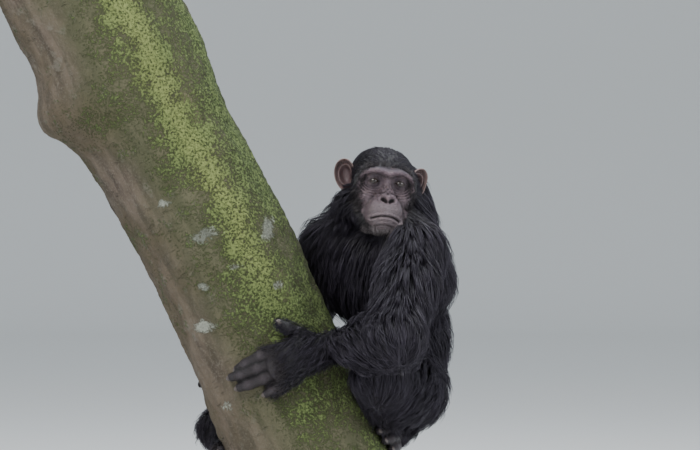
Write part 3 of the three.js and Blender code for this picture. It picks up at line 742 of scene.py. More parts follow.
def markings_and_painted_light(p):
    """Bareness and colour of the skin at each point, with painted light and shade on the face and hands, and
    how far it is on the face
    """
    skin = bpy.context.scene.skin_settings
    coat = bpy.context.scene.coat_settings
    places = head_places(p)
    left, forward, up = places.T
    on_face = bare_face(places) * (np.linalg.norm(places, axis=1) < FACE_REACH)
    on_hand = bare_hand(p)
    muzzle = smooth(forward, 76, 104) * smooth(-up, 42, 66)
    brow = smooth(up, 4, 16)
    lids = bell(np.hypot(np.abs(left) - EYE_OUT, (up - EYE_UP) * 1.2) - 12, 6)
    face = lerp(np.array(skin.face), np.array(skin.muzzle), muzzle[:, None])
    face = lerp(face, np.array(skin.brow), np.maximum(brow, 0.6 * lids)[:, None])
    near = np.linalg.norm(places, axis=1) < RELIEF_REACH
    shape = np.zeros(len(p))
    shape[near] = face_relief(places[near])
    # Painted highlight on the raised relief, such as the brow ridge, and painted shade in its hollows
    face = face * (1 + 0.6 * np.clip(shape / 5, 0, 1) - 0.6 * np.clip(-shape / 3, 0, 1))[:, None]
    # Painted shade in the line of the mouth and in the nostrils
    face = face * (1 - 0.93 * mouth_and_nostril_shade(places))[:, None]
    # Painted shade along the lids' edges, where they meet the eye and turn into the socket
    lid_edge_shade = smooth(3.2 - eye_opening(places), 0, 3) * smooth(forward, 50, 58)
    face = face * (1 - 0.72 * lid_edge_shade)[:, None]
    colour = np.tile(np.array(coat.dark), (len(p), 1))
    colour = lerp(colour, face, on_face[:, None])
    # The hands take painted shade between the digits and painted highlights on the knuckles
    colour = lerp(colour, np.array(skin.hand) * hand_shade_and_highlights(p)[:, None], on_hand[:, None])
    return np.maximum(on_face, on_hand), colour, on_face


# Relief of the face, in millimetres along the skin's normal, from lines of (left, up)

def line_gap(points, line):
    """Distance from points in a plane to a line of straight stretches"""
    gap = np.full(len(points), 1e3)
    for a, b in zip(line[:-1], line[1:]):
        t = np.clip((points - a) @ (b - a) / ((b - a) @ (b - a)), 0, 1)
        gap = np.minimum(gap, np.linalg.norm(points - a - t[:, None] * (b - a), axis=1))
    return gap


MOUTH = np.array([(28 * t, -78 - 8 * t * t) for t in np.linspace(-1, 1, 17)])
CHIN_CREASE = np.array([(20 * t, -96 - 5 * t * t) for t in np.linspace(-1, 1, 9)])
NOSE_TOP = np.array([(-19, -45), (-14, -37), (-6, -33), (0, -35), (6, -33), (14, -37), (19, -45)], float)
BROW = np.array([
    (-58, -24), (-56, -9), (-49, 0), (-37, 6), (-24, 9), (-12, 8.5), (0, 5),
    (12, 8.5), (24, 9), (37, 6), (49, 0), (56, -9), (58, -24),
], float)
NOSTRIL = np.array([(4, -49), (7, -46.5), (11, -46)])
CHEEK_FOLD = np.array([(19, -36), (30, -48), (38, -66), (40, -88)], float)
BAGS = ((15.5, 1.7), (19.6, 2.3), (24.4, 2.1), (30, 1.4))  # Folds below an eye: how far out, and depth
LID_HALF, LID_HIGH, LID_LOW, LID_TILT = 11, 6.0, 4.6, 0.07


def nostril_gap(places, s):
    return line_gap(places[:, [0, 2]], NOSTRIL * [s, 1])


def mouth_and_nostril_shade(places):
    """1 in the line of the mouth and in the nostrils, where shade is painted"""
    near = np.linalg.norm(places - at(0, 95, -62), axis=1) < 60
    gap = np.zeros(len(places))
    part = places[near]
    nostrils = np.minimum(nostril_gap(part, 1), nostril_gap(part, -1))
    lips = line_gap(part[:, [0, 2]], MOUTH)
    gap[near] = np.maximum(smooth(3.9 - nostrils, 0, 1.8), 0.9 * smooth(1.7 - lips, 0, 1.4))
    return gap


def face_relief(places):
    """Lips, nose, brow ridge, cheek folds and the folds round the eyes"""
    left, forward, up = places.T
    flat = places[:, [0, 2]]
    relief = np.zeros(len(places))
    ahead = smooth(forward, 66, 80)
    mouth = line_gap(flat, MOUTH)
    relief += ahead * (-3.0 * bell(mouth, 1.4) + 1.8 * bell(mouth - 4.8, 2.4))
    relief -= ahead * 2.0 * bell(line_gap(flat, CHIN_CREASE), 2.6)
    relief -= ahead * 1.3 * bell(line_gap(flat, NOSE_TOP), 2.0)
    relief += ahead * 1.8 * bell(line_gap(flat, NOSE_TOP) - 4.5, 2.4) * smooth(-np.abs(left), -22, -14)
    ridge, front = line_gap(flat, BROW), smooth(forward, 26, 44)
    relief += front * (5.5 * bell(ridge, 4.4) - 2.0 * bell(ridge - 10, 4) * smooth(up, 10, 16))
    relief -= front * 2.4 * bell(ridge - 9, 3.2) * (1 - smooth(up, 2, 8))
    for s in (1, -1):
        nostril = nostril_gap(places, s)
        relief += ahead * (-8.0 * bell(nostril, 3.0) + 3.4 * bell(nostril - 6.8, 2.4) * smooth(up, -54, -46))
        fold = line_gap(flat, CHEEK_FOLD * [s, 1])
        relief -= 2.4 * bell(fold, 2.6) * smooth(forward, 40, 60)
        across, height = (left - s * EYE_OUT) / 1.25, up - EYE_UP
        eye, angle = np.hypot(across, height), np.arctan2(height, across)
        below = smooth(-np.sin(angle), 0.0, 0.5)
        above = smooth(np.sin(angle), 0.1, 0.6)
        for radius, depth in BAGS:
            relief -= depth * bell(eye - radius, 1.1) * below
            relief += 0.5 * depth * bell(eye - radius - 2.4, 1.6) * below
        relief -= 1.6 * bell(eye - 16, 1.4) * above
        relief *= smooth(eye, 12, 16)
    upright = 0.5 + 0.5 * np.sin(left * 1.05 + 1.3 * np.sin(up * 0.3))
    return relief - 0.4 * ahead * smooth(-up, 56, 64) * upright * bell(mouth - 6, 9)


def eye_opening(places):
    """Below zero inside the almond that the lids leave open"""
    gap = np.full(len(places), 1e3)
    left, _, up = places.T
    for s in (1, -1):
        across = (left - s * EYE_OUT) * s
        height = up - EYE_UP + LID_TILT * across
        arch = 1 - (across / LID_HALF) ** 2
        gap_up = np.maximum(height - LID_HIGH * arch, -LID_LOW * arch - height)
        gap = np.minimum(gap, np.maximum(gap_up, np.abs(across) - LID_HALF))
    return gap


def open_lids(places):
    """Points inside the almond go back into the eyeball, so that the lids end in an edge"""
    for centre in EYES.values():
        offset = places - np.array(centre)
        radius = np.linalg.norm(offset, axis=1)
        inside = smooth(-eye_opening(places), -0.2, 0.5) * (offset[:, 1] > 0) * (radius < LID_RADIUS + 3)
        keep = (EYE_RADIUS - 2.5) / np.maximum(radius, 1)
        places = places - offset * (inside * (1 - keep))[:, None]
    return places


# Materials

def skin_material():
    """The skin's colour at each point, painted light and shade included, with blotches, freckles, pores and
    creases
    """
    flush, freckle, bloom = (0.05, 0.032, 0.034), (0.042, 0.028, 0.032), (0.25, 0.19, 0.19)
    shade = Shade("bare_skin")
    base, bare, face = shade.colour("marking_and_painted_light"), shade.value("bare"), shade.value("face")
    broad, fine = shade.noise(38, 4), shade.noise(420, 3)
    pores = shade.cells(950)
    blotch = shade.mix(broad.between(0.35, 0.7) * 0.55, base, flush, "MULTIPLY")
    spots = shade.noise(190, 3).between(0.52, 0.7) * face * 0.5
    pale = shade.noise(90, 4).between(0.5, 0.75) * face * 0.35
    mottled = shade.mix(pale, shade.mix(0.45, base, blotch), bloom)
    shade.set(Base_Color=shade.mix(spots, mottled, freckle))
    shade.set(Roughness=0.62 - 0.16 * fine * bare)
    shade.set(Specular_IOR_Level=0.42, Subsurface_Weight=0.06, Subsurface_Radius=(0.006, 0.003, 0.002))
    creases = shade.noise(130, 5, 0.62, shade.place((1, 1, 2.2)), 0.4)
    lines = shade.cells(210, shade.place((0.55, 1, 1.6)), "DISTANCE_TO_EDGE").between(0.0, 0.16)
    height = creases * 0.9 + pores * 0.28 * bare + fine * 0.3 + lines * 0.5 * bare
    shade.bump(height, 0.8, 0.0017)
    return shade.material


def hair_material(name, tip, dark):
    """Dark at the root and paler towards the tip, from one tuft and patch to the next"""
    shade = Shade(name)
    along, tone = shade.value("along"), shade.value("tone")
    patch = shade.noise(14, 3).between(0.3, 0.75)
    share = along.between(0.05, 0.95) * 0.6 + tone * 0.5 + patch * 0.25 - 0.22
    base = shade.mix(share.clamped(), dark, tip)
    rust = shade.mix(tone.between(0.9, 1.0) * 0.35, base, (0.05, 0.03, 0.022))
    shade.set(Base_Color=rust, Roughness=0.6 - 0.14 * tone)
    shade.set(Specular_IOR_Level=0.3)
    return shade.material


LEAN = 0.45  # of the log, round the viewer's line of sight


def log_material(settings):
    """Streaked bark with moss, lichen and pale strips, and ringed wood where the log is cut"""
    dusty, rusty, worn = (0.20, 0.175, 0.145), (0.105, 0.066, 0.050), (0.21, 0.195, 0.165)
    crack_shade, straw = (0.04, 0.03, 0.024), (0.33, 0.27, 0.17)
    algae, sunlit = (0.085, 0.1, 0.045), (0.34, 0.39, 0.13)
    shade = Shade("bark")
    cut, moss_at, lichen_at, tan_at = (shade.value(name) for name in ("cut", "moss", "lichen", "tan"))
    ring = shade.value("ring")
    turned = shade.node("ShaderNodeMapping", {"Vector": shade.place(), "Rotation": (0, LEAN, 0)})
    streak_at = shade.node("ShaderNodeMapping", {"Vector": turned, "Scale": (1, 1, 0.22)})
    wrinkle_at = shade.node("ShaderNodeMapping", {"Vector": turned, "Scale": (0.3, 0.3, 1)})
    broad, mid, fine = shade.noise(6, 5), shade.noise(32, 6, 0.62), shade.noise(210, 6, 0.68)
    streak, wrinkle = shade.noise(30, 5, 0.6, streak_at), shade.noise(75, 4, 0.6, wrinkle_at)
    bark = shade.mix(streak.between(0.36, 0.66), np.array(settings.bark) * 0.45, settings.bark)
    bark = shade.mix(fine.between(0.48, 0.72) * 0.7, bark, dusty)
    bark = shade.mix(broad.between(0.46, 0.62) * 0.55, bark, rusty)
    bark = shade.mix(mid.between(0.56, 0.66) * 0.45, bark, worn)
    # Painted shade in the bark's cracks, where the bump is lowest
    bark = shade.mix(wrinkle.between(0.62, 0.72) * 0.55, bark, crack_shade)
    bark = shade.mix((tan_at + 0.5 * (mid - 0.5)).between(0.25, 0.5) * 0.8, bark, straw)
    deep, bright = np.array(settings.moss) * 0.3, np.array(settings.moss) * [2.5, 2.15, 2.2]
    moss = shade.mix(fine.between(0.36, 0.62), deep, settings.moss)
    moss = shade.mix((fine * 0.9 + mid * 0.4).between(0.56, 0.82) * (0.25 + 0.5 * moss_at), moss, bright)
    moss = shade.mix(shade.value("sunny") * fine.between(0.34, 0.6) * 0.75, moss, sunlit)
    patchy = moss_at + 1.2 * (mid - 0.5) + 1.9 * (broad - 0.5) + 2.2 * (fine - 0.5)
    mossy = patchy.between(0.3, 0.74)
    film = (moss_at + 0.8 * (broad - 0.5) + 0.14).between(0.0, 0.5) * 0.6
    surface = shade.mix(mossy, shade.mix(film, bark, algae), moss)
    crust = (lichen_at + 0.9 * (mid - 0.5) + 0.5 * (fine - 0.5)).between(0.46, 0.6)
    pale = shade.mix(fine.between(0.4, 0.6), np.array(settings.lichen) * 0.68, settings.lichen)
    surface = shade.mix(crust * 0.85, surface, pale)
    rings = shade.node("ShaderNodeTexWave", {
        "Vector": shade.node("ShaderNodeCombineXYZ", {0: ring}), "Scale": 3.3, "Distortion": 0.0})
    wood = shade.mix(rings * 0.6, settings.wood, np.array(settings.wood) * 0.5)
    shade.set(Base_Color=shade.mix(cut, surface, wood), Roughness=0.88 - 0.1 * fine)
    shade.set(Specular_IOR_Level=0.22)
    relief = (mid * 0.5 + streak * 0.4 + fine * 0.5 - wrinkle.between(0.6, 0.74) * 0.4) * (1 - 0.8 * cut)
    shade.bump(relief + mossy * fine * 1.5 + crust * 0.25, 0.9, 0.007)
    return shade.material


def plain_material(name, colour, roughness, metallic, scale, depth):
    """One colour, a little worn, with a fine grain of the given scale and depth"""
    shade = Shade(name)
    fine, broad = shade.noise(scale, 4), shade.noise(scale / 12, 3)
    worn = shade.mix(broad.between(0.4, 0.75) * 0.3, colour, np.array(colour) * 0.7)
    shade.set(Base_Color=worn, Roughness=roughness + 0.12 * (fine - 0.5), Metallic=metallic)
    shade.bump(fine, 0.3, depth)
    return shade.material


def eye_material(iris):
    """Rings of pupil, iris and brown white, below a wet coat"""
    shade = Shade("eye")
    gaze, streak = shade.value("gaze"), shade.noise(900, 3)
    pupil, rim, white = (0.002, 0.001, 0.001), (0.008, 0.004, 0.003), (0.03, 0.018, 0.014)
    stops = [(0, pupil), (0.22, pupil), (0.27, iris), (0.48, np.array(iris) * 0.5), (0.58, rim), (1, white)]
    ring = shade.node("ShaderNodeValToRGB", {"Fac": gaze}, stops=stops)
    shade.set(Base_Color=shade.mix(streak * 0.4, ring, (0.03, 0.012, 0.006)))
    shade.set(Roughness=0.24, Coat_Weight=0.45, Coat_Roughness=0.05)
    return shade.material


# Pieces

class PieceOperator(bpy.types.Operator):
    """Shared settings of every piece's operator"""

    bl_options = {"REGISTER", "UNDO"}


# Marks on the front of the log, as x, z, half width and half height, and how far a strip slants
LICHEN = [
    (-75, 700, 46, 30), (-84, 600, 20, 14), (40, 712, 22, 40), (-82, 522, 34, 26), (60, 604, 16, 16),
    (-40, 365, 22, 18), (90, 500, 14, 10), (-20, 640, 26, 12), (-160, 760, 24, 16),
]
STRIPS = [(84, 570, 17, 62, 0.35), (-104, 935, 14, 46, 0.45)]
MOSSY_SIDE, SUNNY_SIDE, DAMP_SIDE = 172, 112, 165  # Degrees round the log


class CHIMP_OT_log(PieceOperator):
    """Cut log with swelling bark, moss and lichen"""

    bl_idname = "chimp.log"
    bl_label = "Log"

    def execute(self, context):
        settings = context.scene.log_settings
        around, rows, cap = 216, 262, 7
        log = primitive("grid", "log_bark", x_subdivisions=around, y_subdivisions=rows + 2 * cap, size=1)
        u, v = (points_of(log)[:, :2] * MM + 0.5).T
        row = v * (rows + 2 * cap)
        share = np.clip(np.minimum(row, rows + 2 * cap - row) / cap, 0, 1)
        along = np.clip((row - cap) / rows, 0, 1) * LOG_LENGTH
        degrees = 360 * u
        surface = log_point(along, degrees)
        centre, axis, _, _ = log_frame(along)
        out = unit(surface - centre)
        furrow = settings.furrow / MM
        ridges = rough_noise(surface * [1, 1, 0.45], 26, 4) * 0.75 + rough_noise(surface, 9, 3) * 0.3
        knots = rough_noise(surface, 90, 3)
        edge = np.clip((row - cap) / 3, 0, 1) * np.clip((rows + cap - row) / 3, 0, 1)
        surface += out * (furrow * np.clip(ridges, -1.2, 1.0) + 2.2 * knots - 1.6 * (1 - edge))[:, None]
        inner = centre + (surface - centre) * share[:, None]
        saw = rough_noise(inner, 14, 2) * 0.35 * (share < 1)
        set_points(log, inner + axis * saw[:, None])
        angle = degrees * RAD
        put_value(log, "cut", smooth(1 - share, 0, 0.05))
        put_value(log, "ring", np.linalg.norm(surface - centre, axis=1) * share * MM * 22 + 0.15 * knots)
        across = np.cos((degrees - MOSSY_SIDE) * RAD)
        ridge = bell(degrees - SUNNY_SIDE - 5 * knots, 13) * smooth(along, 330, 640)
        wet = 0.5 * smooth(across, -0.8, 0.4) + 0.34 * ridge + 0.2 * bell(degrees - DAMP_SIDE, 16)
        put_value(log, "moss", np.clip(wet, 0, 1))
        put_value(log, "sunny", np.clip(ridge, 0, 1))
        px, pz = surface[:, 0], surface[:, 2]
        front = smooth(np.sin(angle), 0.1, 0.5)
        lichen = sum(bell(np.hypot((px - x) / w, (pz - z) / h), 1) for x, z, w, h in LICHEN) * front
        put_value(log, "lichen", np.clip(lichen, 0, 1) * 0.64)
        strip = sum(
            bell(np.hypot((px - x + slant * (pz - z)) / w, (pz - z) / h), 1) for x, z, w, h, slant in STRIPS)
        put_value(log, "tan", np.clip(strip, 0, 1) * front)
        mend(log, 0.00005)
        shade_smooth(log)
        dress(log, log_material(settings), "bark", "perch_log")
        return {"FINISHED"}


COLLAR_WIDTH, COLLAR_HEIGHT = 0.012, 0.01


class CHIMP_OT_stand(PieceOperator):
    """Base board with rounded edges, and its two rods"""

    bl_idname = "chimp.stand"
    bl_label = "Stand"

    def execute(self, context):
        settings = context.scene.stand_settings
        low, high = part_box("stand_base")
        size, middle = high - low, (high + low) / 2
        board = primitive("cube", "base_board", size=1, location=middle, scale=size)
        apply_modifier(board, "BEVEL", width=settings.bevel, segments=4)
        shade_edges(board)
        paint = plain_material("painted_board", settings.board, 0.48, 0.0, 260, 0.0003)
        dress(board, paint, "base_board", "stand_base")
        steel = plain_material("dark_steel", settings.rod, 0.34, 0.9, 700, 0.0001)
        for name in ("stand_rod_left", "stand_rod_right"):
            low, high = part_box(name)
            middle = (low + high) / 2
            depth, radius = high.z - low.z, (high.x - low.x) / 2
            rod = primitive(
                "cylinder", "steel_" + name[6:], vertices=64, radius=radius, depth=depth, location=middle)
            apply_modifier(rod, "BEVEL", width=0.0012, segments=3, limit_method="ANGLE")
            collar = primitive(
                "cylinder", "collar_" + name[10:], vertices=64, radius=radius + COLLAR_WIDTH,
                depth=COLLAR_HEIGHT, location=(middle.x, middle.y, low.z + COLLAR_HEIGHT / 2))
            apply_modifier(collar, "BEVEL", width=0.003, segments=4, limit_method="ANGLE")
            for piece in (rod, collar):
                shade_edges(piece)
            dress(rod, steel, "rod", name)
            dress(collar, steel, "rod")
        return {"FINISHED"}


EYE_PATCH = 21  # Round each eye, where the skin's faces are finest


class CHIMP_OT_skin(PieceOperator):
    """One closed skin over head, trunk, limbs, hands and feet"""

    bl_idname = "chimp.skin"
    bl_label = "Skin"

    def execute(self, context):
        settings = context.scene.skin_settings
        skin = primitive("ico_sphere", "skin", subdivisions=3, radius=1)
        sphere = points_of(skin) * MM
        faces = np.array([tuple(face.vertices) for face in skin.data.polygons])
        masses = BODY + HEAD + [mass for masses in GRASPS.values() for mass in masses]
        points, shells = [], []
        for mass in masses:
            for centre, size in mass.balls:
                shells.append(faces + len(sphere) * len(points))
                shape = sphere @ np.atleast_2d(size).T if np.ndim(size) else sphere * size
                points.append(centre + shape)
        skin.data.clear_geometry()
        skin.data.from_pydata((np.vstack(points) * MM).tolist(), [], np.vstack(shells).tolist())
        apply_modifier(skin, "REMESH", mode="VOXEL", voxel_size=settings.grain, adaptivity=0)
        set_points(skin, settle(skin_field, points_of(skin), steps=3))
        centres = face_centres(skin)
        places = head_places(centres)
        on_face = (bare_face(places) > 0.02) & (places[:, 1] > 18)
        self.split(skin, on_face | (bare_hand(centres) > 0.2))
        places = head_places(face_centres(skin))
        self.split(skin, (bare_face(places) > 0.1) & (places[:, 1] > 30))
        places = head_places(face_centres(skin))
        eyes = [np.linalg.norm(places - np.array(centre), axis=1) < EYE_PATCH for centre in EYES.values()]
        self.split(skin, (eyes[0] | eyes[1]) & (places[:, 1] > 62))
        p = points_of(skin)
        p = settle(skin_field, p, steps=3, most=4)
        places = head_places(p)
        near = (places[:, 1] > 20) & (np.linalg.norm(places, axis=1) < RELIEF_REACH)
        normals = unit(slope_of(skin_field, p[near]))
        p[near] += normals * face_relief(head_places(p[near]))[:, None]
        p[near] = HEAD_CENTRE + open_lids(head_places(p[near])) @ HEAD_TURN.T
        set_points(skin, p)
        bare, colour, face = markings_and_painted_light(p)
        put_value(skin, "bare", bare)
        put_value(skin, "face", face)
        put_value(skin, "marking_and_painted_light", colour, "FLOAT_COLOR")
        shade_smooth(skin)
        mend(skin)
        bpy.ops.object.mode_set(mode="EDIT")
        bpy.ops.uv.smart_project(angle_limit=66 * RAD, island_margin=0.001)
        bpy.ops.object.mode_set(mode="OBJECT")
        skin.data.uv_layers[0].name = "OFBake"
        flesh = [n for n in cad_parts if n.split("_")[0] not in ("perch", "stand", "eye", "ear")]
        dress(skin, skin_material(), "face_skin", *flesh)
        return {"FINISHED"}

    def split(self, skin, chosen):
        choose_faces(skin, chosen)
        bpy.ops.mesh.subdivide(number_cuts=1, smoothness=0)
        bpy.ops.object.mode_set(mode="OBJECT")


GAZE = unit(at(-0.05, 1, -0.04))  # The way the eyes look, as left, forward and up


class CHIMP_OT_eyes(PieceOperator):
    """Two wet dark eyes with a raised cornea"""

    bl_idname = "chimp.eyes"
    bl_label = "Eyes"

    def execute(self, context):
        material = eye_material(context.scene.skin_settings.iris)
        for side, centre in EYES.items():
            ball = primitive(
                "uv_sphere", "eyeball_" + side, segments=48, ring_count=32, radius=EYE_RADIUS * MM)
            p = points_of(ball)
            angle = np.arccos(np.clip(unit(p) @ GAZE, -1, 1))
            p *= (1 + 0.06 * smooth(0.62 - angle, 0, 0.5))[:, None]
            set_points(ball, in_head(*centre) + p @ HEAD_TURN.T)
            put_value(ball, "gaze", np.clip(angle / 1.2, 0, 1))
            mend(ball)
            shade_smooth(ball)
            dress(ball, material, "eye", "eye_" + side)
        return {"FINISHED"}


# Half the ear's width and height, its root on the head, and how many degrees it stands out
EAR = dict(width=21, height=33, root=(62, -4, -9), spread=26)
# From the middle of the ear's face to its rim and round to the middle of its back: share and depth
EAR_PROFILE = [
    (0.02, -16), (0.2, -16), (0.38, -14), (0.5, -10), (0.6, -5), (0.68, -4), (0.76, -8), (0.85, -5.5),
    (0.92, 3.0), (0.97, 4.2), (1, 3), (1, 0), (0.92, -5), (0.65, -12), (0.35, -17), (0.02, -19),
]


class CHIMP_OT_ears(PieceOperator):
    """Cupped ears with a rolled rim and an inner fold"""

    bl_idname = "chimp.ears"
    bl_label = "Ears"

    def execute(self, context):
        material = self.material(context.scene.skin_settings.ear)
        for side, s in (("left", 1), ("right", -1)):
            around, rows = 56, len(EAR_PROFILE) - 1
            ear = primitive(
                "grid", "ear_skin_" + side, x_subdivisions=around, y_subdivisions=rows * 3, size=1)
            u, v = (points_of(ear)[:, :2] * MM + 0.5).T
            angle = 2 * math.pi * u
            share, depth = (np.interp(v * rows, range(rows + 1), column) for column in zip(*EAR_PROFILE))
            top = 1 + 0.12 * np.sin(angle)
            fold = 2.4 * np.sin(2 * angle + 0.6) * bell(share - 0.62, 0.14) * (v < 0.6)
            notch = 2.5 * bell(np.mod(angle - 3.3, 2 * math.pi) - math.pi, 0.35) * bell(share - 0.9, 0.2)
            x = np.cos(angle) * share * EAR["width"] * top
            z = np.sin(angle) * share * EAR["height"] * (1 + 0.04 * np.cos(angle))
            turn = Matrix.Rotation(-s * EAR["spread"] * RAD, 3, "Z") @ Matrix.Rotation(s * 12 * RAD, 3, "Y")
            p = np.stack([x, depth + fold - notch, z], 1) @ np.array(turn).T
            out, forward, up = EAR["root"]
            places = p + at(s * (out + EAR["width"] * 0.6), forward, up)
            set_points(ear, HEAD_CENTRE + places @ HEAD_TURN.T)
            # Painted light: the rim and the inner fold stay pale, and the hollow of the cup is darkened as
            # painted shade
            put_value(ear, "rim", smooth(share, 0.72, 1.0) + 0.35 * bell(share - 0.64, 0.07))
            mend(ear, 0.0006)
            apply_modifier(ear, "SUBSURF", levels=1, render_levels=1)
            shade_smooth(ear)
            dress(ear, material, "ear_skin", "ear_" + side)
        return {"FINISHED"}

    def material(self, colour):
        shade = Shade("ear_skin")
        rim, broad, fine = shade.value("rim"), shade.noise(70, 4), shade.noise(600, 3)
        # Painted shade in the ear's hollow, away from the rim and the inner fold
        deep = shade.mix(rim, np.array(colour) * [0.30, 0.25, 0.29], colour)
        shade.set(Base_Color=shade.mix(broad.between(0.4, 0.7) * 0.45, deep, np.array(colour) * 0.35))
        shade.set(Roughness=0.62 - 0.1 * fine)
        shade.set(Subsurface_Weight=0.12, Subsurface_Radius=(0.008, 0.003, 0.002))
        shade.bump(fine + 2 * broad, 0.4, 0.0008)
        return shade.material


NAIL = (5.6, 7.4, 1.1)  # Half its width, length and thickness
NAIL_OUT, NAIL_AHEAD = 6.9, 2.6  # From the last joint's centre


class CHIMP_OT_nails(PieceOperator):
    """A nail on each finger and toe"""

    bl_idname = "chimp.nails"
    bl_label = "Nails"

    def execute(self, context):
        colour = context.scene.skin_settings.nail
        material = plain_material("nail", colour, 0.45, 0.0, 900, 0.0001)
        for name in GRIPS:
            place = gripper(name)
            points, faces = [], []
            for digit in digits_of(name):
                before, tip = place(*digit[2]), place(*digit[3])
                ahead = unit(tip - before)
                out = place(digit[3][0], digit[3][1], 60) - place(*digit[3])
                out = unit(out - ahead * (out @ ahead))
                side = np.cross(ahead, out)
                nail = primitive("uv_sphere", "nail", segments=20, ring_count=12, radius=1)
                q = points_of(nail) * MM
                bend = -1.6 * q[:, 0] ** 2 - 1.4 * np.maximum(q[:, 1], 0) ** 2
                shape = q * NAIL
                shape[:, 2] += bend
                local = shape @ np.stack([side, ahead, out])
                faces += [[i + len(points) * len(q) for i in face.vertices] for face in nail.data.polygons]
                points.append(tip + out * NAIL_OUT + ahead * NAIL_AHEAD + local)
                bpy.data.objects.remove(nail)
            nails = primitive("plane", "nails_" + name, size=1)
            nails.data.clear_geometry()
            nails.data.from_pydata((np.vstack(points) * MM).tolist(), [], faces)
            mend(nails)
            shade_smooth(nails)
            dress(nails, material, "hand_skin")
        return {"FINISHED"}


# The coat: which way it lies, how long it is, and the tufts themselves

def lie_zones():
    """Each zone's masses, the way its hair lies, and its length"""
    zones = [
        ("torso", TORSO + SLOPES, at(0.05, 0.3, -1), 80), ("neck", NECKS, at(0.1, 0.35, -1), 62),
    ]
    for side in SIDES:
        j = JOINTS[side]
        drop = at(0, 0, -0.55)
        zones += [
            ("upper_arm_" + side, BONES["upper_arm_" + side], unit(j["elbow"] - j["shoulder"]) + drop, 88),
            ("forearm_" + side, BONES["forearm_" + side], unit(j["elbow"] - j["wrist"]) + drop * 0.7, 70),
            ("thigh_" + side, BONES["thigh_" + side], unit(j["knee"] - j["hip"]) + drop, 58),
            ("shin_" + side, BONES["shin_" + side], unit(j["ankle"] - j["knee"]) + drop * 0.5, 46),
        ]
        for name in ("hand_" + side, "foot_" + side):
            place = gripper(name)
            zones.append((name, GRASPS[name][:3], unit(place(90, 0, 15) - place(0, 0, 15)) + drop * 0.3, 22))
    return zones


def head_lie(places):
    """Back over the crown, and down and out from the cheeks"""
    left, _, up = places.T
    cheek = smooth(-up, -8, 34)
    sign = np.sign(left) * smooth(np.abs(left), 4, 20)
    crown = np.stack([0.25 * sign, -np.ones(len(left)), -0.1 + 0 * up], 1)
    side = np.stack([0.42 * sign, -0.62 + 0 * up, -0.78 + 0 * up], 1)
    return lerp(crown, side, cheek[:, None]) @ HEAD_TURN.T


LIE_SPREAD = 14  # How far one zone's hair blends into the next one's


def lie(p):
    """Zone, direction and length of the hair at each point"""
    zones = lie_zones()
    gaps = [merged(masses, 10)(p) for _, masses, _, _ in zones] + [off_head(p)]
    gaps = np.stack(gaps, 1)
    zone = gaps.argmin(1)
    weight = np.exp(-(gaps - gaps.min(1, keepdims=True)) / LIE_SPREAD)
    weight /= weight.sum(1, keepdims=True)
    flow = sum(weight[:, [i]] * unit(z[2]) for i, z in enumerate(zones))
    places = head_places(p)
    flow = flow + weight[:, [-1]] * unit(head_lie(places))
    _, forward, up = places.T
    head_length = 34 + 22 * smooth(-up, 0, 50) + 10 * smooth(-forward, 0, 60)
    head_length = head_length * (1 - 0.62 * smooth(forward, 10, 50) * smooth(up, -10, 12))
    length = weight[:, :-1] @ np.array([z[3] for z in zones], float) + weight[:, -1] * head_length
    return zone, flow, length


def sample(skin, count, rng, density):
    """Random places on the skin: point, normal and the place on its unwrap"""
    mesh = skin.data
    mesh.calc_loop_triangles()
    corners = np.empty(len(mesh.loop_triangles) * 3, int)
    loops = np.empty(len(mesh.loop_triangles) * 3, int)
    mesh.loop_triangles.foreach_get("vertices", corners)
    mesh.loop_triangles.foreach_get("loops", loops)
    corners, loops = corners.reshape(-1, 3), loops.reshape(-1, 3)
    flat = np.empty(len(mesh.loops) * 2)
    mesh.uv_layers["OFBake"].data.foreach_get("uv", flat)
    unwrap = flat.reshape(-1, 2)
    p = points_of(skin)
    a, b, c = (p[corners[:, k]] for k in range(3))
    normal = np.cross(b - a, c - a)
    weight = np.linalg.norm(normal, axis=1) * density((a + b + c) / 3)
    chosen = rng.choice(len(corners), count, p=weight / weight.sum())
    r, q = np.sqrt(rng.random(count)), rng.random(count)
    share = np.stack([1 - r, r * (1 - q), r * q], 1)
    root = (p[corners[chosen]] * share[:, :, None]).sum(1)
    patch = (unwrap[loops[chosen]] * share[:, :, None]).sum(1)
    return root, unit(normal[chosen]), patch


STEPS = 4  # Points along a hair
MARGIN = 27  # How far a hair may pass the box of the solids
MOST_TUFTS = 12000  # In a piece


def combed(root, normal, flow, length, lift, droop):
    """Nodes of each guide: it leaves the skin, bends over and follows the coat"""
    nodes = [root]
    heading = unit(flow - normal * (flow * normal).sum(1, keepdims=True))
    p = root
    for k in range(1, STEPS):
        t = k / (STEPS - 1)
        heading = heading + at(0, 0, -1) * droop[:, None] * t
        p = p + unit(heading) * (length / (STEPS - 1))[:, None]
        out = unit(slope_of(skin_field, p))
        height = lift * math.sin(math.pi / 2 * min(1, 1.25 * t))
        p = p + out * (height - skin_field(p))[:, None]
        heading = unit(heading - out * (heading * out).sum(1, keepdims=True))
        nodes.append(p)
    return np.stack(nodes, 1)


RING_SHARES = (0.75, 1.0, 0.72)
PATCH_RADII = (0.0015, 0.0011, 0.0007)


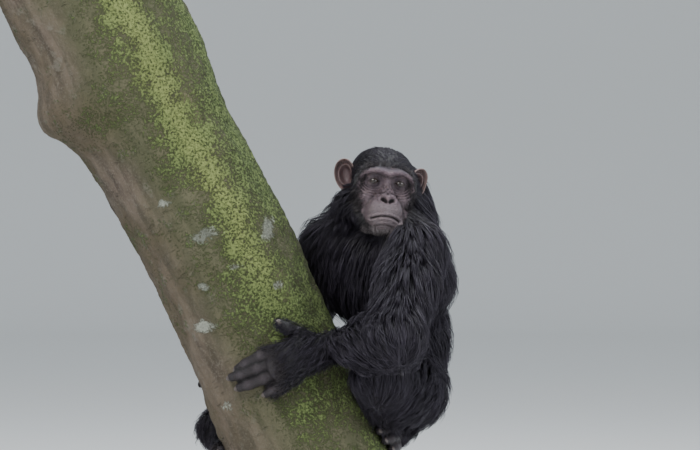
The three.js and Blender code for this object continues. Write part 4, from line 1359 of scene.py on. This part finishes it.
def tuft_mesh(name, nodes, normal, width, patch, tone):
    """Closed three-sided tufts that taper to a point, joined in one mesh"""
    count = len(nodes)
    tangent = unit(nodes[:, 1:] - nodes[:, :-1])
    points = np.empty((count, 10, 3))
    unwrap = np.empty((count, 10, 2))
    along = np.empty((count, 10))
    for k in range(3):
        side = unit(np.cross(tangent[:, k], normal))
        out = unit(np.cross(side, tangent[:, k]))
        half = (width * RING_SHARES[k] / 2)[:, None]
        for j, (x, z) in enumerate(((1, -0.3), (0, 0.65), (-1, -0.3))):
            points[:, 3 * k + j] = nodes[:, k] + side * half * x + out * half * z
            turn = 2 * math.pi * j / 3
            unwrap[:, 3 * k + j] = patch + PATCH_RADII[k] * np.array([math.cos(turn), math.sin(turn)])
            along[:, 3 * k + j] = k / 3
    points[:, 9], unwrap[:, 9], along[:, 9] = nodes[:, 3], patch, 1
    sides = [(j, (j + 1) % 3) for j in range(3)]
    quads = [(3 * k + i, 3 * k + j, 3 * k + 3 + j, 3 * k + 3 + i) for k in (0, 1) for i, j in sides]
    tips = [(6 + i, 6 + j, 9) for i, j in sides] + [(2, 1, 0)]
    shape = [i for face in quads + tips for i in face]
    sizes = [4] * 6 + [3] * 4
    starts = np.cumsum([0] + sizes[:-1])
    loops = (np.array(shape)[None] + 10 * np.arange(count)[:, None]).ravel()
    tufts = primitive("plane", name, size=1)
    mesh = tufts.data
    mesh.clear_geometry()
    mesh.vertices.add(count * 10)
    mesh.loops.add(len(loops))
    mesh.polygons.add(count * 10)
    mesh.vertices.foreach_set("co", (points * MM).astype(np.float32).ravel())
    mesh.loops.foreach_set("vertex_index", loops.astype(np.int32))
    first = (starts[None] + len(shape) * np.arange(count)[:, None]).ravel()
    mesh.polygons.foreach_set("loop_start", first.astype(np.int32))
    mesh.update(calc_edges=True)
    layer = mesh.uv_layers.new(name="OFBake")
    layer.data.foreach_set("uv", unwrap.reshape(-1, 2)[loops].astype(np.float32).ravel())
    put_value(tufts, "along", along.ravel())
    put_value(tufts, "tone", np.repeat(tone, 10))
    mesh.validate()
    shade_smooth(tufts)
    return tufts


def whiskers(p):
    """1 where long hair stands off below the ears, most on the animal's right"""
    left, forward, up = head_places(p).T
    beside = smooth(np.abs(left), 26, 46) * smooth(-up, 10, 38) * smooth(up, -98, -72)
    beside = beside * smooth(-forward, -48, -30) * (off_head(p) < 10)
    return beside * np.where(left < 0, 1, 0.45)


class CHIMP_OT_coat(PieceOperator):
    """Long hair, as tufts that lean together and lie along the body"""

    bl_idname = "chimp.coat"
    bl_label = "Coat"

    def execute(self, context):
        settings = context.scene.coat_settings
        skin = bpy.data.objects["skin"]
        rng = np.random.default_rng(SEED)

        def density(p):
            bare = markings_and_painted_light(p)[0]
            clear = smooth(off_log(p), -2, 6)
            finer = 1 + 1.1 * smooth(off_head(p), 12, 2)
            return np.clip(1 - bare * 1.1, 0, 1) * clear * finer

        guide, out, _ = sample(skin, settings.guides, rng, density)
        zone, flow, length = lie(guide)
        sleek = smooth(off_head(guide), 22, 4)
        loose = rng.normal(size=(len(guide), 3)) * (0.08 - 0.04 * sleek)[:, None]
        length = length * rng.uniform(0.78, 1.18, len(guide))
        flare = whiskers(guide)
        length = length + 12 * flare
        lift = length * (rng.uniform(0.15, 0.26, len(guide)) * (1 - 0.7 * sleek) + 0.4 * flare)
        nodes = combed(guide, out, unit(flow) + loose, length, lift, rng.uniform(0.05, 0.3, len(guide)))
        tree = kdtree.KDTree(len(guide))
        for i, p in enumerate(guide):
            tree.insert(Vector(p), i)
        tree.balance()
        root, normal, patch = sample(skin, settings.hairs, rng, density)
        nearest = np.array([tree.find(Vector(p))[1] for p in root])
        zone = zone[nearest]
        count = len(root)
        lean = rng.uniform(0.35, 0.8, count)[:, None, None]
        t = (np.arange(STEPS) / (STEPS - 1))[None, :, None]
        path = nodes[nearest] - guide[nearest][:, None]
        reach = rng.uniform(0.72, 1.12, count)[:, None, None]
        offset = (root - guide[nearest])[:, None] * (1 - lean * t ** 1.2)
        stray = rng.normal(size=(count, 1, 3)) * (2.2 - 1.2 * sleek[nearest])[:, None, None] * t ** 1.5
        hairs = guide[nearest][:, None] + path * reach + offset + stray
        hairs[:, 0] = root - normal * 1.0
        width = settings.width / MM * rng.uniform(0.6, 1.35, count) * np.clip(length[nearest] / 60, 0.55, 1.1)
        tone = np.clip(rng.random(count) * 0.6 + 0.4 * rng.random(len(guide))[nearest], 0, 1)
        low, high = (np.array(corner) / MM for corner in CAD_BOX)
        inside = (hairs > low - MARGIN) & (hairs < high + MARGIN)
        free = (off_log(hairs[:, 2]) > 1) & inside.all(axis=(1, 2))
        # The coat's pale tips are partly painted sheen
        material = hair_material("coat_hair", settings.light, settings.dark)
        names = [z[0] for z in lie_zones()] + ["head"]
        for i, name in enumerate(names):
            chosen = np.flatnonzero((zone == i) & free)
            parts = max(1, math.ceil(len(chosen) / MOST_TUFTS))
            order = chosen[np.argsort(root[chosen, 2])]
            for k, part in enumerate(np.array_split(order, parts)):
                piece = "coat_" + name + ("_%d" % (k + 1) if parts > 1 else "")
                tufts = tuft_mesh(piece, hairs[part], normal[part], width[part], patch[part], tone[part])
                dress(tufts, material, "coat")
        return {"FINISHED"}


class CHIMP_OT_beard(PieceOperator):
    """Short pale hairs of the chin and lips, and thin dark ones of the face, hands and feet"""

    bl_idname = "chimp.beard"
    bl_label = "Beard and fine hair"

    def execute(self, context):
        skin = bpy.data.objects["skin"]
        rng = np.random.default_rng(SEED + 1)

        def chin(p):
            left, forward, up = head_places(p).T
            near = (np.linalg.norm(p - HEAD_CENTRE, axis=1) < CHIN_REACH) & (off_head(p) < 4)
            return near * smooth(-up, 95, 106) * smooth(forward, 42, 66) * (np.abs(left) < 40)

        def thin(p):
            bare, _, face = markings_and_painted_light(p)
            left, forward, up = head_places(p).T
            brow = 0.5 * face * smooth(up, 17, 24)
            cheek = face * (1 - smooth(forward, 60, 84)) * smooth(np.abs(left), 34, 46)
            near_hand = bare * (1 - face) * (1 - smooth(bare, 0.3, 0.95))
            edge = 0.5 * smooth(bare, 0, 0.5) * (1 - smooth(bare, 0.5, 1))
            return brow + 0.6 * cheek + 1.2 * near_hand + edge

        pale = hair_material("beard_hair", (0.30, 0.27, 0.28), (0.14, 0.115, 0.12))
        dark = hair_material("fine_hair", (0.06, 0.052, 0.055), (0.02, 0.017, 0.02))
        down = in_head(0, 60, -160) - HEAD_CENTRE
        self.grow(skin, "coat_beard", chin, 1100, rng, (7, 16), 0.42, pale, down)
        self.grow(skin, "coat_fine", thin, 5200, rng, (8, 20), 0.9, dark, None)
        return {"FINISHED"}

    def grow(self, skin, name, density, count, rng, lengths, width, material, toward):
        """A piece of short hairs, which lie as the coat does or point one way"""
        root, normal, patch = sample(skin, count, rng, density)
        _, flow, _ = lie(root)
        if toward is not None:
            flow = np.tile(unit(toward), (count, 1))
        length = rng.uniform(*lengths, count)
        flow = unit(unit(flow) + rng.normal(size=(count, 3)) * 0.2)
        flow -= normal * (flow * normal).sum(1, keepdims=True)
        t = np.arange(STEPS) / (STEPS - 1)
        rise = 0.5 * np.sin(t * math.pi / 2)[None, :, None] * normal[:, None]
        path = (flow[:, None] * t[None, :, None] + rise * 0.8) * length[:, None, None]
        nodes = root[:, None] + path
        nodes[:, 0] -= normal * 0.6
        tufts = tuft_mesh(name, nodes, normal, width * rng.uniform(0.6, 1.2, count), patch, rng.random(count))
        dress(tufts, material, "coat")


# The stage's sizes and places, in metres and watts
FLOOR_FLAT, FLOOR_CURVE, FLOOR_WALL, FLOOR_FRONT, FLOOR_WIDTH = 18.0, 2.4, 10.0, 6.4, 26.0
LAMPS = [
    ("key", (-1.3, -2.6, 3.3), 1.9, 125, (1.0, 0.985, 0.96)),
    ("sky", (0.5, 0.5, 3.6), 2.6, 90, (0.93, 0.96, 1.0)),
    ("side", (2.8, -0.9, 1.7), 1.5, 38, (0.95, 0.97, 1.0)),
    ("fill", (-0.4, -4.2, 0.9), 2.0, 20, (1.0, 1.0, 1.0)),
]
LAMPS_AIM = Vector((0.12, 0, 0.65))
AIR, AIR_STRENGTH = (0.80, 0.86, 0.92, 1), 0.7
VIEWER, SENSOR, LENS = (0.2, -5.0, 0.72), 36, 128.57


class CHIMP_OT_stage(PieceOperator):
    """Pale floor that curves up into a backdrop, soft lights and the camera"""

    bl_idname = "chimp.stage"
    bl_label = "Stage"

    def execute(self, context):
        floor = primitive("grid", "stage_floor", x_subdivisions=2, y_subdivisions=152, size=1)
        x, y, _ = points_of(floor).T * MM
        run = (y + 0.5) * (FLOOR_FLAT + FLOOR_CURVE + FLOOR_WALL)
        turn = np.clip((run - FLOOR_FLAT) / FLOOR_CURVE, 0, 1) * math.pi / 2
        radius = FLOOR_CURVE / (math.pi / 2)
        depth = np.minimum(run, FLOOR_FLAT) + radius * np.sin(turn) - FLOOR_FRONT
        height = radius * (1 - np.cos(turn)) + np.maximum(run - FLOOR_FLAT - FLOOR_CURVE, 0)
        set_points(floor, np.stack([x * FLOOR_WIDTH, depth, height], 1) / MM)
        shade_smooth(floor)
        shade = Shade("studio_paper")
        shade.set(Base_Color=(0.82, 0.83, 0.82), Roughness=0.9)
        floor.data.materials.append(shade.material)
        for name, place, size, power, colour in LAMPS:
            data = bpy.data.lights.new(name, "AREA")
            data.size, data.energy, data.color = size, power, colour
            lamp = bpy.data.objects.new(name, data)
            lamp.location = place
            lamp.visible_glossy = name != "fill"
            lamp.rotation_euler = (LAMPS_AIM - Vector(place)).to_track_quat("-Z", "Y").to_euler()
            context.collection.objects.link(lamp)
        world = bpy.data.worlds.new("studio")
        world.use_nodes = True
        light = world.node_tree.nodes["Background"].inputs
        light["Color"].default_value = AIR
        light["Strength"].default_value = AIR_STRENGTH
        context.scene.world = world
        camera = bpy.data.cameras.new("photo_view")
        camera.sensor_width, camera.lens = SENSOR, LENS
        viewer = bpy.data.objects.new("photo_view", camera)
        viewer.location = VIEWER
        viewer.rotation_euler = (math.pi / 2, 0, 0)
        context.collection.objects.link(viewer)
        context.scene.camera = viewer
        return {"FINISHED"}


class CHIMP_PT_panel(bpy.types.Panel):
    """Buttons and sizes of the model"""

    bl_idname = "CHIMP_PT_panel"
    bl_label = "Chimpanzee"
    bl_space_type = "VIEW_3D"
    bl_region_type = "UI"
    bl_category = "Chimpanzee"

    def draw(self, context):
        for name in PIECES:
            self.layout.operator("chimp." + name)
        for name, group in SETTINGS.items():
            for key in group.__annotations__:
                self.layout.prop(getattr(context.scene, name), key)


PIECES = ("stage", "log", "stand", "skin", "eyes", "ears", "nails", "coat", "beard")
SETTINGS = {
    "skin_settings": SkinSettings, "coat_settings": CoatSettings,
    "log_settings": LogSettings, "stand_settings": StandSettings,
}
CLASSES = (
    SkinSettings, CoatSettings, LogSettings, StandSettings,
    CHIMP_OT_stage, CHIMP_OT_log, CHIMP_OT_stand, CHIMP_OT_skin, CHIMP_OT_eyes, CHIMP_OT_ears,
    CHIMP_OT_nails, CHIMP_OT_coat, CHIMP_OT_beard, CHIMP_PT_panel,
)


def register():
    for one in CLASSES:
        bpy.utils.register_class(one)
    for name, group in SETTINGS.items():
        setattr(bpy.types.Scene, name, bpy.props.PointerProperty(type=group))


def unregister():
    for name in SETTINGS:
        delattr(bpy.types.Scene, name)
    for one in reversed(CLASSES):
        bpy.utils.unregister_class(one)


def main():
    register()
    for name in PIECES:
        getattr(bpy.ops.chimp, name)()


if __name__ == "__main__":
    main()
